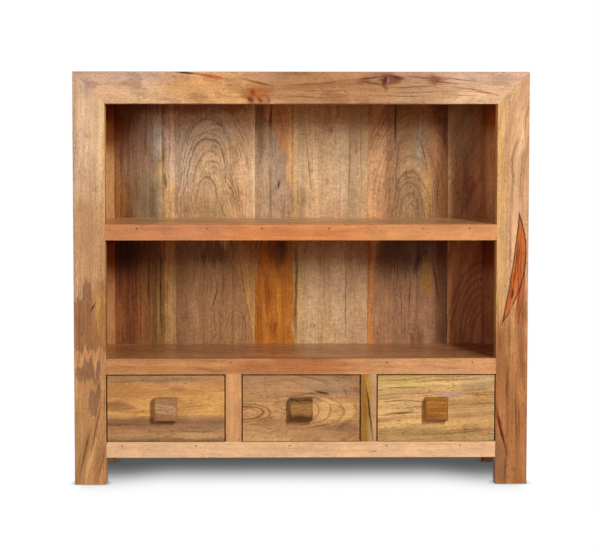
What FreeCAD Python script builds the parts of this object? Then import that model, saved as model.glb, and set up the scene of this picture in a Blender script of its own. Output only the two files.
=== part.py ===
"""Solid wood bookcase with two open bays above a row of three drawers.

The part stands on its four posts, +Z up.  X runs along the width and the front
faces -Y.  The origin is on the floor, under the middle of the overall box, which
the knobs lengthen towards the front.  All sizes are in millimetres.
"""
import FreeCAD, Part
import math
import os
import re
import Sketcher

# Driving sizes, in millimetres: one spreadsheet cell each.
SIZES = {
    # case and frames
    "case_width": 1000,
    "case_depth": 350,
    "post_width": 70,
    "post_depth": 45,
    "top_rail_height": 70,
    # levels, from the floor up
    "foot_height": 60,
    "edge_height": 35,
    "drawer_opening_height": 150,
    "lower_bay_height": 261,
    "upper_bay_height": 264,
    # boards, their thick front edges and the dividers between the drawers
    "edge_thickness": 20,
    "board_thickness": 18,
    "stile_width": 35,
    # side panels and top panel
    "side_panel_thickness": 10,
    "side_panel_inset": 8,
    "panel_groove_depth": 8,
    "top_rebate_width": 10,
    # back boards; a share is one board's part of the width that they fill together
    "back_board_thickness": 12,
    "back_board_setback": 8,
    "back_rail_thickness": 20,
    "back_board_1_share": 141,
    "back_board_2_share": 186,
    "back_board_3_share": 91,
    "back_board_4_share": 173,
    "back_board_5_share": 188,
    "back_board_6_share": 81,
    "tongue_length": 6,
    "tongue_thickness": 4,
    # joinery
    "tenon_length": 20,
    "tenon_thickness": 10,
    "tenon_shoulder": 7,
    "stub_tenon_length": 10,
    "stub_tenon_shoulder": 5,
    "joint_clearance": 0.2,
    "joint_end_gap": 0.5,
    # hidden guides, kickers, stops and cleats
    "guide_width": 30,
    "guide_height": 40,
    "guide_gap": 1,
    "kicker_height": 35,
    "kicker_gap": 1,
    "stop_width": 30,
    "stop_depth": 23,
    "stop_height": 25,
    "stop_inset": 45,
    "stop_gap": 0.3,
    "cleat_width": 18,
    "cleat_height": 17,
    # drawers
    "drawer_gap": 2.5,
    "drawer_front_lift": 1,
    "drawer_run_gap": 0.3,
    "drawer_front_thickness": 20,
    "drawer_front_lap": 8,
    "drawer_edge_radius": 1,
    "drawer_side_thickness": 12,
    "drawer_bottom_thickness": 4,
    "drawer_bottom_lift": 8,
    "drawer_groove_depth": 6,
    # knobs and their screws
    "knob_size": 50,
    "knob_projection": 25,
    "knob_chamfer": 3,
    "knob_web": 7,
    "screw_radius": 2,
    "screw_head_radius": 4.5,
    "screw_head_height": 2.5,
    "screw_slot_width": 1,
    "screw_slot_depth": 1.2,
    "screw_hole_clearance": 0.3,
    "screw_thread_clearance": 0.05,
    # pins that hold the front edges to their boards
    "pin_radius": 1.6,
    "pin_length": 36,
    "pin_recess": 2,
    "pin_clearance": 0.1,
}

# Places of the pins, as shares of the length between the posts, set by hand
# along each front edge.
PIN_SHARES = {
    "shelf": (0.08, 0.26, 0.40, 0.57, 0.81, 0.93),
    "deck": (0.32, 0.72, 0.94),
    "bottom": (0.04, 0.23, 0.47, 0.72, 0.91),
}
DRAWER_COUNT = 3
BACK_BOARD_NUMBERS = range(1, 7)
SIDES = ("left", "right")
FACES = ("front", "back")

# Places worked out from the driving sizes, as expressions.
LEFT = "(0 - case_width / 2)"
RIGHT = "(case_width / 2)"
FRONT = "(0 - (case_depth - knob_projection) / 2)"
BACK = f"({FRONT} + case_depth)"
INNER_LEFT = f"({LEFT} + post_width)"
INNER_RIGHT = f"({RIGHT} - post_width)"
INNER_WIDTH = "(case_width - 2 * post_width)"
POST_REAR = f"({FRONT} + post_depth)"
BACK_POST_FACE = f"({BACK} - post_depth)"
POST_GAP = "(case_depth - 2 * post_depth)"
EDGE_REAR = f"({FRONT} + edge_thickness)"
BACK_BOARD_FACE = f"({BACK_POST_FACE} + back_board_setback)"
BOARD_DEPTH = f"({BACK_BOARD_FACE} - {EDGE_REAR})"
PANEL_FACE_INSET = "(side_panel_inset + side_panel_thickness)"

FLOOR_LEVEL = "(foot_height + edge_height)"
DECK_UNDERSIDE = f"({FLOOR_LEVEL} + drawer_opening_height)"
DECK_LEVEL = f"({DECK_UNDERSIDE} + edge_height)"
SHELF_LEVEL = f"({DECK_LEVEL} + lower_bay_height + edge_height)"
RAIL_UNDERSIDE = f"({SHELF_LEVEL} + upper_bay_height)"
TOP_LEVEL = f"({RAIL_UNDERSIDE} + top_rail_height)"
BACK_HEIGHT = f"({RAIL_UNDERSIDE} - {FLOOR_LEVEL})"
LEVELS = {"shelf": SHELF_LEVEL, "deck": DECK_LEVEL, "bottom": FLOOR_LEVEL}

OPENING_WIDTH = f"(({INNER_WIDTH} - {DRAWER_COUNT - 1} * stile_width) / {DRAWER_COUNT})"
SHARE_SUM = "(" + " + ".join(f"back_board_{number}_share" for number in BACK_BOARD_NUMBERS) + ")"

TENON_HEIGHT = "(edge_height - 2 * tenon_shoulder)"
TENON_LEVEL = "(foot_height + tenon_shoulder)"
TENON_INSET = "((post_width - tenon_thickness) / 2)"
BACK_TENON_FACE = f"({BACK_BOARD_FACE} + (back_rail_thickness - tenon_thickness) / 2)"
STUB_THICKNESS = "(edge_thickness - 2 * stub_tenon_shoulder)"
STUB_HEIGHT = "(edge_height - 2 * stub_tenon_shoulder)"
STUB_WIDTH = "(stile_width - 2 * stub_tenon_shoulder)"
STUB_FACE = f"({FRONT} + stub_tenon_shoulder)"
TONGUE_FACE = f"({BACK_BOARD_FACE} + (back_board_thickness - tongue_thickness) / 2)"

doc = FreeCAD.newDocument("Bookcase")
sheet = doc.addObject("Spreadsheet::Sheet", "Sizes")
for row, (alias, value) in enumerate(SIZES.items(), start=1):
    sheet.set(f"A{row}", alias)
    sheet.set(f"B{row}", str(value))
    sheet.setAlias(f"B{row}", alias)
doc.recompute()

# sketches start from rough shapes of about this size, before their constraints are solved
ROUGH_SIZE = 10.0
ALIAS = re.compile(r"\b(" + "|".join(SIZES) + r")\b")
corners = {}
parts = []


def bind(thing, path, text):
    """Tie one property to an expression written with the sheet's aliases."""
    thing.setExpression(path, ALIAS.sub(r"Sizes.\1", text))


def place(thing, corner):
    """Bind a placement to a corner given as three expressions."""
    for axis, text in zip("xyz", corner):
        bind(thing, f"Placement.Base.{axis}", text)


def new_body(label, corner):
    """Start a sub-part whose own origin is at this corner of the bookcase."""
    body = doc.addObject("PartDesign::Body", label)
    body.Label = label
    place(body, corner)
    corners[body.Name] = corner
    parts.append(body)
    return body


def attach_sketch(body, name, role, offset):
    """Make a sketch on one of its body's origin planes, moved within that plane's own axes."""
    sketch = body.newObject("Sketcher::SketchObject", f"{body.Name}_{name}")
    plane = next(plane for plane in body.Origin.OriginFeatures if plane.Role == role)
    sketch.AttachmentSupport = [(plane, "")]
    sketch.MapMode = "FlatFace"
    for axis, text in zip("xyz", offset):
        bind(sketch, f"AttachmentOffset.Base.{axis}", text)
    return sketch


def flat_sketch(body, name, corner):
    """Make a level sketch whose origin is at a corner of the bookcase."""
    return attach_sketch(body, name, "XY_Plane", local_corner(body, corner))


def upright_sketch(body, name, corner):
    """Make a sketch that stands across the bookcase; its normal points to the front."""
    x, y, z = local_corner(body, corner)
    return attach_sketch(body, name, "XZ_Plane", (x, z, f"0 - ({y})"))


def local_corner(body, corner):
    """Turn a corner of the bookcase into one that is counted from the body's own origin."""
    return [f"({text}) - ({start})" for text, start in zip(corner, corners[body.Name])]


def draw_outline(sketch, points):
    """Draw a closed straight-sided outline; no coordinate is negative, and 0 means on the axis."""
    count = len(points)
    rough = []
    for index in range(count):
        turn = 2 * math.pi * index / count
        rough.append(FreeCAD.Vector(2 + math.cos(turn), 2 + math.sin(turn), 0) * ROUGH_SIZE)
    for index in range(count):
        sketch.addGeometry(Part.LineSegment(rough[index], rough[(index + 1) % count]))
    for index in range(count):
        sketch.addConstraint(Sketcher.Constraint("Coincident", index, 2, (index + 1) % count, 1))
    for index, point in enumerate(points):
        for kind, axis_line, text in (("DistanceX", -2, point[0]), ("DistanceY", -1, point[1])):
            if text == "0":
                sketch.addConstraint(Sketcher.Constraint("PointOnObject", index, 1, axis_line))
            else:
                number = sketch.addConstraint(Sketcher.Constraint(kind, -1, 1, index, 1, ROUGH_SIZE))
                bind(sketch, f"Constraints[{number}]", text)


def draw_rectangle(sketch, width, height):
    draw_outline(sketch, [("0", "0"), (width, "0"), (width, height), ("0", height)])


def extrude(body, kind, sketch, name, length, reverse):
    """Pad or pocket a sketch; a pad follows its normal and a pocket goes against it, unless reversed."""
    feature = body.newObject(f"PartDesign::{kind}", f"{body.Name}_{name}")
    feature.Profile = sketch
    bind(feature, "Length", length)
    feature.Reversed = reverse
    body.Tip = feature
    return feature


def add_block(body, name, corner, size):
    """Add a rectangular block: its low corner in the bookcase, and its three sizes."""
    sketch = flat_sketch(body, name + "_sketch", corner)
    draw_rectangle(sketch, size[0], size[1])
    return extrude(body, "Pad", sketch, name, size[2], False)


def cut_block(body, name, corner, size):
    """Cut a rectangular hollow: its low corner in the bookcase, and its three sizes."""
    sketch = flat_sketch(body, name + "_sketch", corner)
    draw_rectangle(sketch, size[0], size[1])
    return extrude(body, "Pocket", sketch, name, size[2], True)


def block_body(label, corner, size):
    """Start a sub-part with one rectangular block at its own origin."""
    body = new_body(label, corner)
    return body, add_block(body, "block", corner, size)


def round_holes(body, name, start_y, centres, radius, depth):
    """Cut round holes that run towards the back from one Y, at (x, z) places in one row."""
    sketch = upright_sketch(body, name + "_sketch", (LEFT, start_y, centres[0][1]))
    for index, (x, _) in enumerate(centres):
        rough_centre = FreeCAD.Vector(ROUGH_SIZE * (index + 1), 0, 0)
        sketch.addGeometry(Part.Circle(rough_centre, FreeCAD.Vector(0, 0, 1), 1.0))
        sketch.addConstraint(Sketcher.Constraint("PointOnObject", index, 3, -1))
        across = sketch.addConstraint(Sketcher.Constraint("DistanceX", -1, 1, index, 3, ROUGH_SIZE))
        bind(sketch, f"Constraints[{across}]", f"{x} - {LEFT}")
        size = sketch.addConstraint(Sketcher.Constraint("Radius", index, 1.0))
        bind(sketch, f"Constraints[{size}]", radius)
    return extrude(body, "Pocket", sketch, name, depth, False)


def front_edges(feature):
    """Names of the edges that lie in the foremost face of a feature."""
    doc.recompute()
    flat = feature.Shape.BoundBox.YMin + 1e-4
    edges = enumerate(feature.Shape.Edges, start=1)
    return [f"Edge{number}" for number, edge in edges if edge.BoundBox.YMax < flat]


def loose_block(corner, size):
    """Make one Part box with bound sizes and place, for a group of alike pieces."""
    box = doc.addObject("Part::Box", "Block")
    for path, text in zip(("Length", "Width", "Height"), size):
        bind(box, path, text)
    place(box, corner)
    return box


def group(label, members):
    """Gather alike loose pieces under one label, each still a separate solid."""
    compound = doc.addObject("Part::Compound", label)
    compound.Label = label
    compound.Links = members
    parts.append(compound)


def looser(text):
    """A width with the joint clearance added on both sides."""
    return f"({text} + 2 * joint_clearance)"


def earlier(text):
    """The low edge of a cut that is wider than its tenon by the joint clearance."""
    return f"({text} - joint_clearance)"


def deeper(text):
    """A depth with room left beyond the end of the tenon or tongue."""
    return f"({text} + joint_end_gap)"


def from_side(side, inset, width):
    """Low X of a piece that starts this far in from the outer face of that side."""
    return f"({LEFT} + {inset})" if side == "left" else f"({RIGHT} - {inset} - {width})"


def from_face(face, inset, depth):
    """Low Y of a piece that starts this far in from the front or the back."""
    return f"({FRONT} + {inset})" if face == "front" else f"({BACK} - {inset} - {depth})"


def opening_x(index):
    """Low X of a drawer opening, counted from 0 at the left."""
    return f"({INNER_LEFT} + {index} * ({OPENING_WIDTH} + stile_width))"


def stile_x(index):
    """Low X of the divider to the right of a drawer opening."""
    return f"({opening_x(index)} + {OPENING_WIDTH})"


def pin_centres(name):
    """Places of one edge's pins: centred in the thickness of the board behind."""
    level = f"({LEVELS[name]} - board_thickness / 2)"
    return [(f"({INNER_LEFT} + {share} * {INNER_WIDTH})", level) for share in PIN_SHARES[name]]


def cut_panel_groove(body, side, y, length, z, height):
    """Cut the groove for a side panel into a piece of that side's frame."""
    x = from_side(side, earlier("side_panel_inset"), looser("side_panel_thickness"))
    cut_block(body, "panel_groove", (x, y, z), (looser("side_panel_thickness"), length, height))


def cut_back_groove(body, x, length, z, height):
    """Cut the groove for the back boards' tongues into a piece of the back frame."""
    cut_block(body, "back_groove", (x, earlier(TONGUE_FACE), z), (length, looser("tongue_thickness"), height))


def build_post(face, side):
    """One post: it runs from the floor into a mitre, and is grooved and morticed for the rest."""
    corner = (from_side(side, "0", "post_width"), from_face(face, "0", "post_depth"), "0")
    body = new_body(f"{face}_{side}_post", corner)
    sketch = upright_sketch(body, "outline", corner)
    left_top, right_top = (TOP_LEVEL, RAIL_UNDERSIDE) if side == "left" else (RAIL_UNDERSIDE, TOP_LEVEL)
    draw_outline(sketch, [("0", "0"), ("post_width", "0"), ("post_width", right_top), ("0", left_top)])
    extrude(body, "Pad", sketch, "length", "post_depth", True)

    groove_y = from_face(face, "(post_depth - panel_groove_depth)", "panel_groove_depth")
    cut_panel_groove(body, side, groove_y, "panel_groove_depth",
                     f"({FLOOR_LEVEL} - panel_groove_depth)", f"({BACK_HEIGHT} + 2 * panel_groove_depth)")

    depth = deeper("tenon_length")
    mortise_x = from_side(side, earlier(TENON_INSET), looser("tenon_thickness"))
    mortise_y = from_face(face, f"(post_depth - {depth})", depth)
    cut_block(body, "side_rail_mortise", (mortise_x, mortise_y, earlier(TENON_LEVEL)),
              (looser("tenon_thickness"), depth, looser(TENON_HEIGHT)))
    if face == "front":
        depth = deeper("stub_tenon_length")
        socket_x = from_side(side, f"(post_width - {depth})", depth)
        for name, level in LEVELS.items():
            socket_z = earlier(f"({level} - edge_height + stub_tenon_shoulder)")
            cut_block(body, f"{name}_edge_socket", (socket_x, earlier(STUB_FACE), socket_z),
                      (depth, looser(STUB_THICKNESS), looser(STUB_HEIGHT)))
    else:
        mortise_x = from_side(side, f"(post_width - {depth})", depth)
        cut_block(body, "back_rail_mortise", (mortise_x, earlier(BACK_TENON_FACE), earlier(TENON_LEVEL)),
                  (depth, looser("tenon_thickness"), looser(TENON_HEIGHT)))
        depth = deeper("tongue_length")
        cut_back_groove(body, from_side(side, f"(post_width - {depth})", depth), depth,
                        f"({FLOOR_LEVEL} - joint_end_gap)", f"({BACK_HEIGHT} + 2 * joint_end_gap)")


def cut_top_rebate(body):
    """Cut the ledge that the top panel lies on into the inner edge of a top rail."""
    corner = (f"({INNER_LEFT} - top_rebate_width)", f"({POST_REAR} - top_rebate_width)",
              f"({TOP_LEVEL} - board_thickness)")
    size = (f"({INNER_WIDTH} + 2 * top_rebate_width)", f"({POST_GAP} + 2 * top_rebate_width)",
            "board_thickness")
    cut_block(body, "top_rebate", corner, size)


def build_top_frame():
    """Mitred top rails, the rails between them and the panel that they hold."""
    for face in FACES:
        corner = (LEFT, from_face(face, "0", "post_depth"), RAIL_UNDERSIDE)
        body = new_body(f"top_{face}_rail", corner)
        sketch = upright_sketch(body, "outline", corner)
        draw_outline(sketch, [("post_width", "0"), ("(case_width - post_width)", "0"),
                              ("case_width", "top_rail_height"), ("0", "top_rail_height")])
        extrude(body, "Pad", sketch, "length", "post_depth", True)
        cut_top_rebate(body)
        if face == "back":
            cut_back_groove(body, INNER_LEFT, INNER_WIDTH, RAIL_UNDERSIDE, deeper("tongue_length"))
    for side in SIDES:
        corner = (from_side(side, "0", "post_width"), POST_REAR, RAIL_UNDERSIDE)
        body, _ = block_body(f"top_{side}_rail", corner, ("post_width", POST_GAP, "top_rail_height"))
        cut_top_rebate(body)
        cut_panel_groove(body, side, POST_REAR, POST_GAP, RAIL_UNDERSIDE, "panel_groove_depth")

    margin = earlier("top_rebate_width")
    block_body("top_panel",
               (f"({INNER_LEFT} - {margin})", f"({POST_REAR} - {margin})", f"({TOP_LEVEL} - board_thickness)"),
               (f"({INNER_WIDTH} + 2 * {margin})", f"({POST_GAP} + 2 * {margin})", "board_thickness"))


def build_lower_rails():
    """Rails between the posts, level with the drawer floor, with a tenon at each end."""
    for side in SIDES:
        corner = (from_side(side, "0", "post_width"), POST_REAR, "foot_height")
        body, _ = block_body(f"lower_{side}_rail", corner, ("post_width", POST_GAP, "edge_height"))
        tenon_x = from_side(side, TENON_INSET, "tenon_thickness")
        for end, tenon_y in (("front", f"({POST_REAR} - tenon_length)"), ("back", BACK_POST_FACE)):
            add_block(body, f"{end}_tenon", (tenon_x, tenon_y, TENON_LEVEL),
                      ("tenon_thickness", "tenon_length", TENON_HEIGHT))
        cut_panel_groove(body, side, POST_REAR, POST_GAP,
                         f"({FLOOR_LEVEL} - panel_groove_depth)", "panel_groove_depth")

    body, _ = block_body("lower_back_rail", (INNER_LEFT, BACK_BOARD_FACE, "foot_height"),
                         (INNER_WIDTH, "back_rail_thickness", "edge_height"))
    for end, tenon_x in (("left", f"({INNER_LEFT} - tenon_length)"), ("right", INNER_RIGHT)):
        add_block(body, f"{end}_tenon", (tenon_x, BACK_TENON_FACE, TENON_LEVEL),
                  ("tenon_length", "tenon_thickness", TENON_HEIGHT))
    depth = deeper("tongue_length")
    cut_back_groove(body, INNER_LEFT, INNER_WIDTH, f"({FLOOR_LEVEL} - {depth})", depth)


def build_side_panels():
    """Thin panels that stand in grooves all round."""
    reach = "(panel_groove_depth - joint_end_gap)"
    for side in SIDES:
        x = from_side(side, "side_panel_inset", "side_panel_thickness")
        block_body(f"{side}_side_panel", (x, f"({POST_REAR} - {reach})", f"({FLOOR_LEVEL} - {reach})"),
                   ("side_panel_thickness", f"({POST_GAP} + 2 * {reach})", f"({BACK_HEIGHT} + 2 * {reach})"))


def build_back_boards():
    """Upright boards, tongued into each other and into the frame around them."""
    x = INNER_LEFT
    for number in BACK_BOARD_NUMBERS:
        width = f"({INNER_WIDTH} * back_board_{number}_share / {SHARE_SUM})"
        body, _ = block_body(f"back_board_{number}", (x, BACK_BOARD_FACE, FLOOR_LEVEL),
                             (width, "back_board_thickness", BACK_HEIGHT))
        tongue_size = ("tongue_length", "tongue_thickness", BACK_HEIGHT)
        add_block(body, "right_tongue", (f"({x} + {width})", TONGUE_FACE, FLOOR_LEVEL), tongue_size)
        if number == 1:
            add_block(body, "left_tongue", (f"({x} - tongue_length)", TONGUE_FACE, FLOOR_LEVEL), tongue_size)
        else:
            cut_back_groove(body, x, deeper("tongue_length"), FLOOR_LEVEL, BACK_HEIGHT)
        for end, z in (("top", RAIL_UNDERSIDE), ("bottom", f"({FLOOR_LEVEL} - tongue_length)")):
            add_block(body, f"{end}_tongue", (x, TONGUE_FACE, z), (width, "tongue_thickness", "tongue_length"))
        x = f"({x} + {width})"


def build_board(name):
    """Shelf, deck or drawer floor: a board that lies between the front edge and the back boards."""
    z = f"({LEVELS[name]} - board_thickness)"
    body, _ = block_body(f"{name}_board", (INNER_LEFT, EDGE_REAR, z),
                         (INNER_WIDTH, BOARD_DEPTH, "board_thickness"))
    if name != "bottom":
        # between the posts the board reaches out to the side panels
        inset = f"({PANEL_FACE_INSET} + joint_clearance)"
        add_block(body, "wings", (f"({LEFT} + {inset})", POST_REAR, z),
                  (f"(case_width - 2 * {inset})", POST_GAP, "board_thickness"))
    round_holes(body, "pin_holes", EDGE_REAR, pin_centres(name), "(pin_radius + pin_clearance)",
                deeper("(pin_recess + pin_length - edge_thickness)"))


def build_edge(name):
    """Thick front edge of a board, with stub tenons and sockets for the dividers."""
    level = LEVELS[name]
    z = f"({level} - edge_height)"
    body, _ = block_body(f"{name}_edge", (INNER_LEFT, FRONT, z), (INNER_WIDTH, "edge_thickness", "edge_height"))
    for end, tenon_x in (("left", f"({INNER_LEFT} - stub_tenon_length)"), ("right", INNER_RIGHT)):
        add_block(body, f"{end}_tenon", (tenon_x, STUB_FACE, f"({z} + stub_tenon_shoulder)"),
                  ("stub_tenon_length", STUB_THICKNESS, STUB_HEIGHT))
    depth = deeper("stub_tenon_length")
    socket_z = {"deck": z, "bottom": f"({level} - {depth})"}.get(name)
    if socket_z:
        for index in range(DRAWER_COUNT - 1):
            socket_x = earlier(f"({stile_x(index)} + stub_tenon_shoulder)")
            cut_block(body, f"stile_socket_{index + 1}", (socket_x, earlier(STUB_FACE), socket_z),
                      (looser(STUB_WIDTH), looser(STUB_THICKNESS), depth))
    round_holes(body, "pin_holes", FRONT, pin_centres(name), "(pin_radius + pin_clearance)", "edge_thickness")


def build_pins():
    """Headless pins, punched below the face of the front edges."""
    pins = []
    for name in LEVELS:
        for x, z in pin_centres(name):
            pin = doc.addObject("Part::Cylinder", "Pin")
            bind(pin, "Radius", "pin_radius")
            bind(pin, "Height", "pin_length")
            pin.Placement.Rotation = FreeCAD.Rotation(FreeCAD.Vector(1, 0, 0), -90)
            place(pin, (x, f"({FRONT} + pin_recess)", z))
            pins.append(pin)
    group("edge_pins", pins)


def build_dividers():
    """Upright dividers between the drawers, tenoned into the edges above and below."""
    for index in range(DRAWER_COUNT - 1):
        x = stile_x(index)
        body, _ = block_body(f"divider_stile_{index + 1}", (x, FRONT, FLOOR_LEVEL),
                             ("stile_width", "edge_thickness", "drawer_opening_height"))
        for end, z in (("bottom", f"({FLOOR_LEVEL} - stub_tenon_length)"), ("top", DECK_UNDERSIDE)):
            add_block(body, f"{end}_tenon", (f"({x} + stub_tenon_shoulder)", STUB_FACE, z),
                      (STUB_WIDTH, STUB_THICKNESS, "stub_tenon_length"))


def build_runs():
    """Guides beside the drawers, kickers that stop them tipping, and stops behind them."""
    bulge = "(drawer_gap - guide_gap)"
    reach = "(drawer_gap + drawer_side_thickness)"
    kicker_z = f"({DECK_LEVEL} - board_thickness - kicker_height)"
    kickers = []
    for index in range(DRAWER_COUNT - 1):
        x = stile_x(index)
        block_body(f"divider_guide_{index + 1}", (f"({x} - {bulge})", EDGE_REAR, FLOOR_LEVEL),
                   (f"(stile_width + 2 * {bulge})", BOARD_DEPTH, "guide_height"))
        kickers.append(loose_block((f"({x} - {reach})", EDGE_REAR, kicker_z),
                                   (f"(stile_width + 2 * {reach})", BOARD_DEPTH, "kicker_height")))
    for side in SIDES:
        inset = "(post_width - guide_width)"
        width = f"(guide_width + {bulge})"
        block_body(f"{side}_guide", (from_side(side, inset, width), POST_REAR, FLOOR_LEVEL),
                   (width, POST_GAP, "guide_height"))
        width = f"(guide_width + {reach})"
        kickers.append(loose_block((from_side(side, inset, width), POST_REAR, kicker_z),
                                   (width, POST_GAP, "kicker_height")))
    group("drawer_kickers", kickers)

    stops = []
    for index in range(DRAWER_COUNT):
        low = f"({opening_x(index)} + stop_inset)"
        high = f"({stile_x(index)} - stop_inset - stop_width)"
        for x in (low, high):
            stops.append(loose_block((x, f"({BACK_BOARD_FACE} - stop_depth)", FLOOR_LEVEL),
                                     ("stop_width", "stop_depth", "stop_height")))
    group("drawer_stops", stops)


def build_cleats():
    """A pair of cleats under the ends of each board."""
    for name, inset in (("shelf", PANEL_FACE_INSET), ("deck", PANEL_FACE_INSET), ("bottom", "post_width")):
        z = f"({LEVELS[name]} - board_thickness - cleat_height)"
        cleats = [loose_block((from_side(side, inset, "cleat_width"), POST_REAR, z),
                              ("cleat_width", POST_GAP, "cleat_height")) for side in SIDES]
        group(f"{name}_cleats", cleats)


class Drawer:
    """One inset drawer: lapped front, box, and a square knob with a screw from inside."""

    def __init__(self, index):
        self.name = f"drawer_{index + 1}"
        self.left = f"({opening_x(index)} + drawer_gap)"
        self.width = f"({OPENING_WIDTH} - 2 * drawer_gap)"
        self.right_side = f"({self.left} + {self.width} - drawer_side_thickness)"
        self.inner_left = f"({self.left} + drawer_side_thickness)"
        self.inner_width = f"({self.width} - 2 * drawer_side_thickness)"
        self.front_rear = f"({FRONT} + drawer_front_thickness)"
        self.lap_face = f"({FRONT} + drawer_front_lap)"
        self.rear = f"({BACK_BOARD_FACE} - stop_depth - stop_gap)"
        self.base = f"({FLOOR_LEVEL} + drawer_run_gap)"
        self.side_top = f"({DECK_LEVEL} - board_thickness - kicker_height - kicker_gap)"
        self.front_base = f"({FLOOR_LEVEL} + drawer_front_lift)"
        self.front_height = "(drawer_opening_height - drawer_front_lift - drawer_gap)"
        self.bottom_level = f"({self.base} + drawer_bottom_lift)"
        self.middle_x = f"({self.left} + {self.width} / 2)"
        self.middle_z = f"({self.front_base} + {self.front_height} / 2)"
        self.sides = (("left", self.left), ("right", self.right_side))

    def build(self):
        self.build_front()
        self.build_sides()
        self.build_back_and_bottom()
        self.build_knob()
        self.build_screw()

    def build_front(self):
        """The front, rounded along its face and rebated behind for the sides and the bottom."""
        body, board = block_body(f"{self.name}_front", (self.left, FRONT, self.front_base),
                                 (self.width, "drawer_front_thickness", self.front_height))
        edges = front_edges(board)
        rounding = body.newObject("PartDesign::Fillet", f"{body.Name}_rounding")
        rounding.Base = (board, edges)
        bind(rounding, "Radius", "drawer_edge_radius")
        body.Tip = rounding
        for side, x in self.sides:
            cut_block(body, f"{side}_lap", (x, self.lap_face, self.front_base),
                      ("drawer_side_thickness", "(drawer_front_thickness - drawer_front_lap)",
                       f"({self.side_top} - {self.front_base})"))
        cut_block(body, "bottom_groove",
                  (f"({self.inner_left} - drawer_groove_depth)", f"({self.front_rear} - drawer_groove_depth)",
                   earlier(self.bottom_level)),
                  (f"({self.inner_width} + 2 * drawer_groove_depth)", "drawer_groove_depth",
                   looser("drawer_bottom_thickness")))
        round_holes(body, "screw_hole", FRONT, [(self.middle_x, self.middle_z)],
                    "(screw_radius + screw_hole_clearance)", "drawer_front_thickness")

    def build_sides(self):
        """The two sides, grooved for the bottom."""
        length = f"({self.rear} - {self.lap_face})"
        for side, x in self.sides:
            body, _ = block_body(f"{self.name}_{side}_side", (x, self.lap_face, self.base),
                                 ("drawer_side_thickness", length, f"({self.side_top} - {self.base})"))
            groove_x = f"({self.inner_left} - drawer_groove_depth)" if side == "left" else self.right_side
            cut_block(body, "bottom_groove", (groove_x, self.lap_face, earlier(self.bottom_level)),
                      ("drawer_groove_depth", length, looser("drawer_bottom_thickness")))

    def build_back_and_bottom(self):
        """The back stands on the thin bottom, which slides into its grooves from behind."""
        back_base = f"({self.bottom_level} + drawer_bottom_thickness)"
        block_body(f"{self.name}_back", (self.inner_left, f"({self.rear} - drawer_side_thickness)", back_base),
                   (self.inner_width, "drawer_side_thickness", f"({self.side_top} - {back_base})"))
        margin = earlier("drawer_groove_depth")
        start = f"({self.front_rear} - {margin})"
        block_body(f"{self.name}_bottom", (f"({self.inner_left} - {margin})", start, self.bottom_level),
                   (f"({self.inner_width} + 2 * {margin})", f"({self.rear} - {start})",
                    "drawer_bottom_thickness"))

    def build_knob(self):
        """The square knob, bevelled round its face and bored from behind."""
        body, square = block_body(
            f"{self.name}_knob",
            (f"({self.middle_x} - knob_size / 2)", f"({FRONT} - knob_projection)",
             f"({self.middle_z} - knob_size / 2)"),
            ("knob_size", "knob_projection", "knob_size"))
        edges = front_edges(square)
        bevel = body.newObject("PartDesign::Chamfer", f"{body.Name}_bevel")
        bevel.Base = (square, edges)
        bind(bevel, "Size", "knob_chamfer")
        body.Tip = bevel
        depth = deeper("(knob_projection - knob_web)")
        round_holes(body, "screw_bore", f"({FRONT} - {depth})", [(self.middle_x, self.middle_z)],
                    "(screw_radius + screw_thread_clearance)", depth)

    def build_screw(self):
        """A slotted screw: its head seats behind the drawer front and its shank points forward."""
        body = new_body(f"{self.name}_knob_screw", (self.middle_x, self.front_rear, self.middle_z))
        body.Placement.Rotation = FreeCAD.Rotation(FreeCAD.Vector(1, 0, 0), -90)
        shank = "(drawer_front_thickness + knob_projection - knob_web)"
        top = f"({shank} + screw_head_height)"
        profile = attach_sketch(body, "profile", "XZ_Plane", ("0", f"0 - {shank}", "0"))
        draw_outline(profile, [("0", "0"), ("screw_radius", "0"), ("screw_radius", shank),
                               ("screw_head_radius", shank), ("screw_head_radius", top), ("0", top)])
        turned = body.newObject("PartDesign::Revolution", f"{body.Name}_turned")
        turned.Profile = profile
        turned.ReferenceAxis = (profile, ["V_Axis"])
        turned.Angle = 360
        body.Tip = turned
        slot = attach_sketch(body, "slot_sketch", "XY_Plane",
                             ("0 - screw_head_radius", "0 - screw_slot_width / 2",
                              "screw_head_height - screw_slot_depth"))
        draw_rectangle(slot, "(2 * screw_head_radius)", "screw_slot_width")
        extrude(body, "Pocket", slot, "slot", "screw_slot_depth", True)


def check_parts():
    """Stop on any failed object or bad shape."""
    doc.recompute()
    for thing in doc.Objects:
        if "Invalid" in thing.State or "Error" in thing.State:
            raise RuntimeError(f"{thing.Name} failed: {thing.State}")
    for part in parts:
        if part.Shape.isNull() or not part.Shape.isValid():
            raise RuntimeError(f"{part.Label} has no valid shape")


def write_parts():
    """Write one STEP file per sub-part, named after its label."""
    os.makedirs("parts", exist_ok=True)
    for part in parts:
        part.Shape.exportStep(os.path.join("parts", part.Label + ".step"))
        print(f"{part.Label}: {len(part.Shape.Solids)} solids, {part.Shape.Volume:.0f} cubic mm")


for post_face in FACES:
    for post_side in SIDES:
        build_post(post_face, post_side)
build_top_frame()
build_lower_rails()
build_side_panels()
build_back_boards()
for board_name in LEVELS:
    build_board(board_name)
    build_edge(board_name)
build_pins()
build_dividers()
build_runs()
build_cleats()
for drawer_index in range(DRAWER_COUNT):
    Drawer(drawer_index).build()
check_parts()
write_parts()
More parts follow.
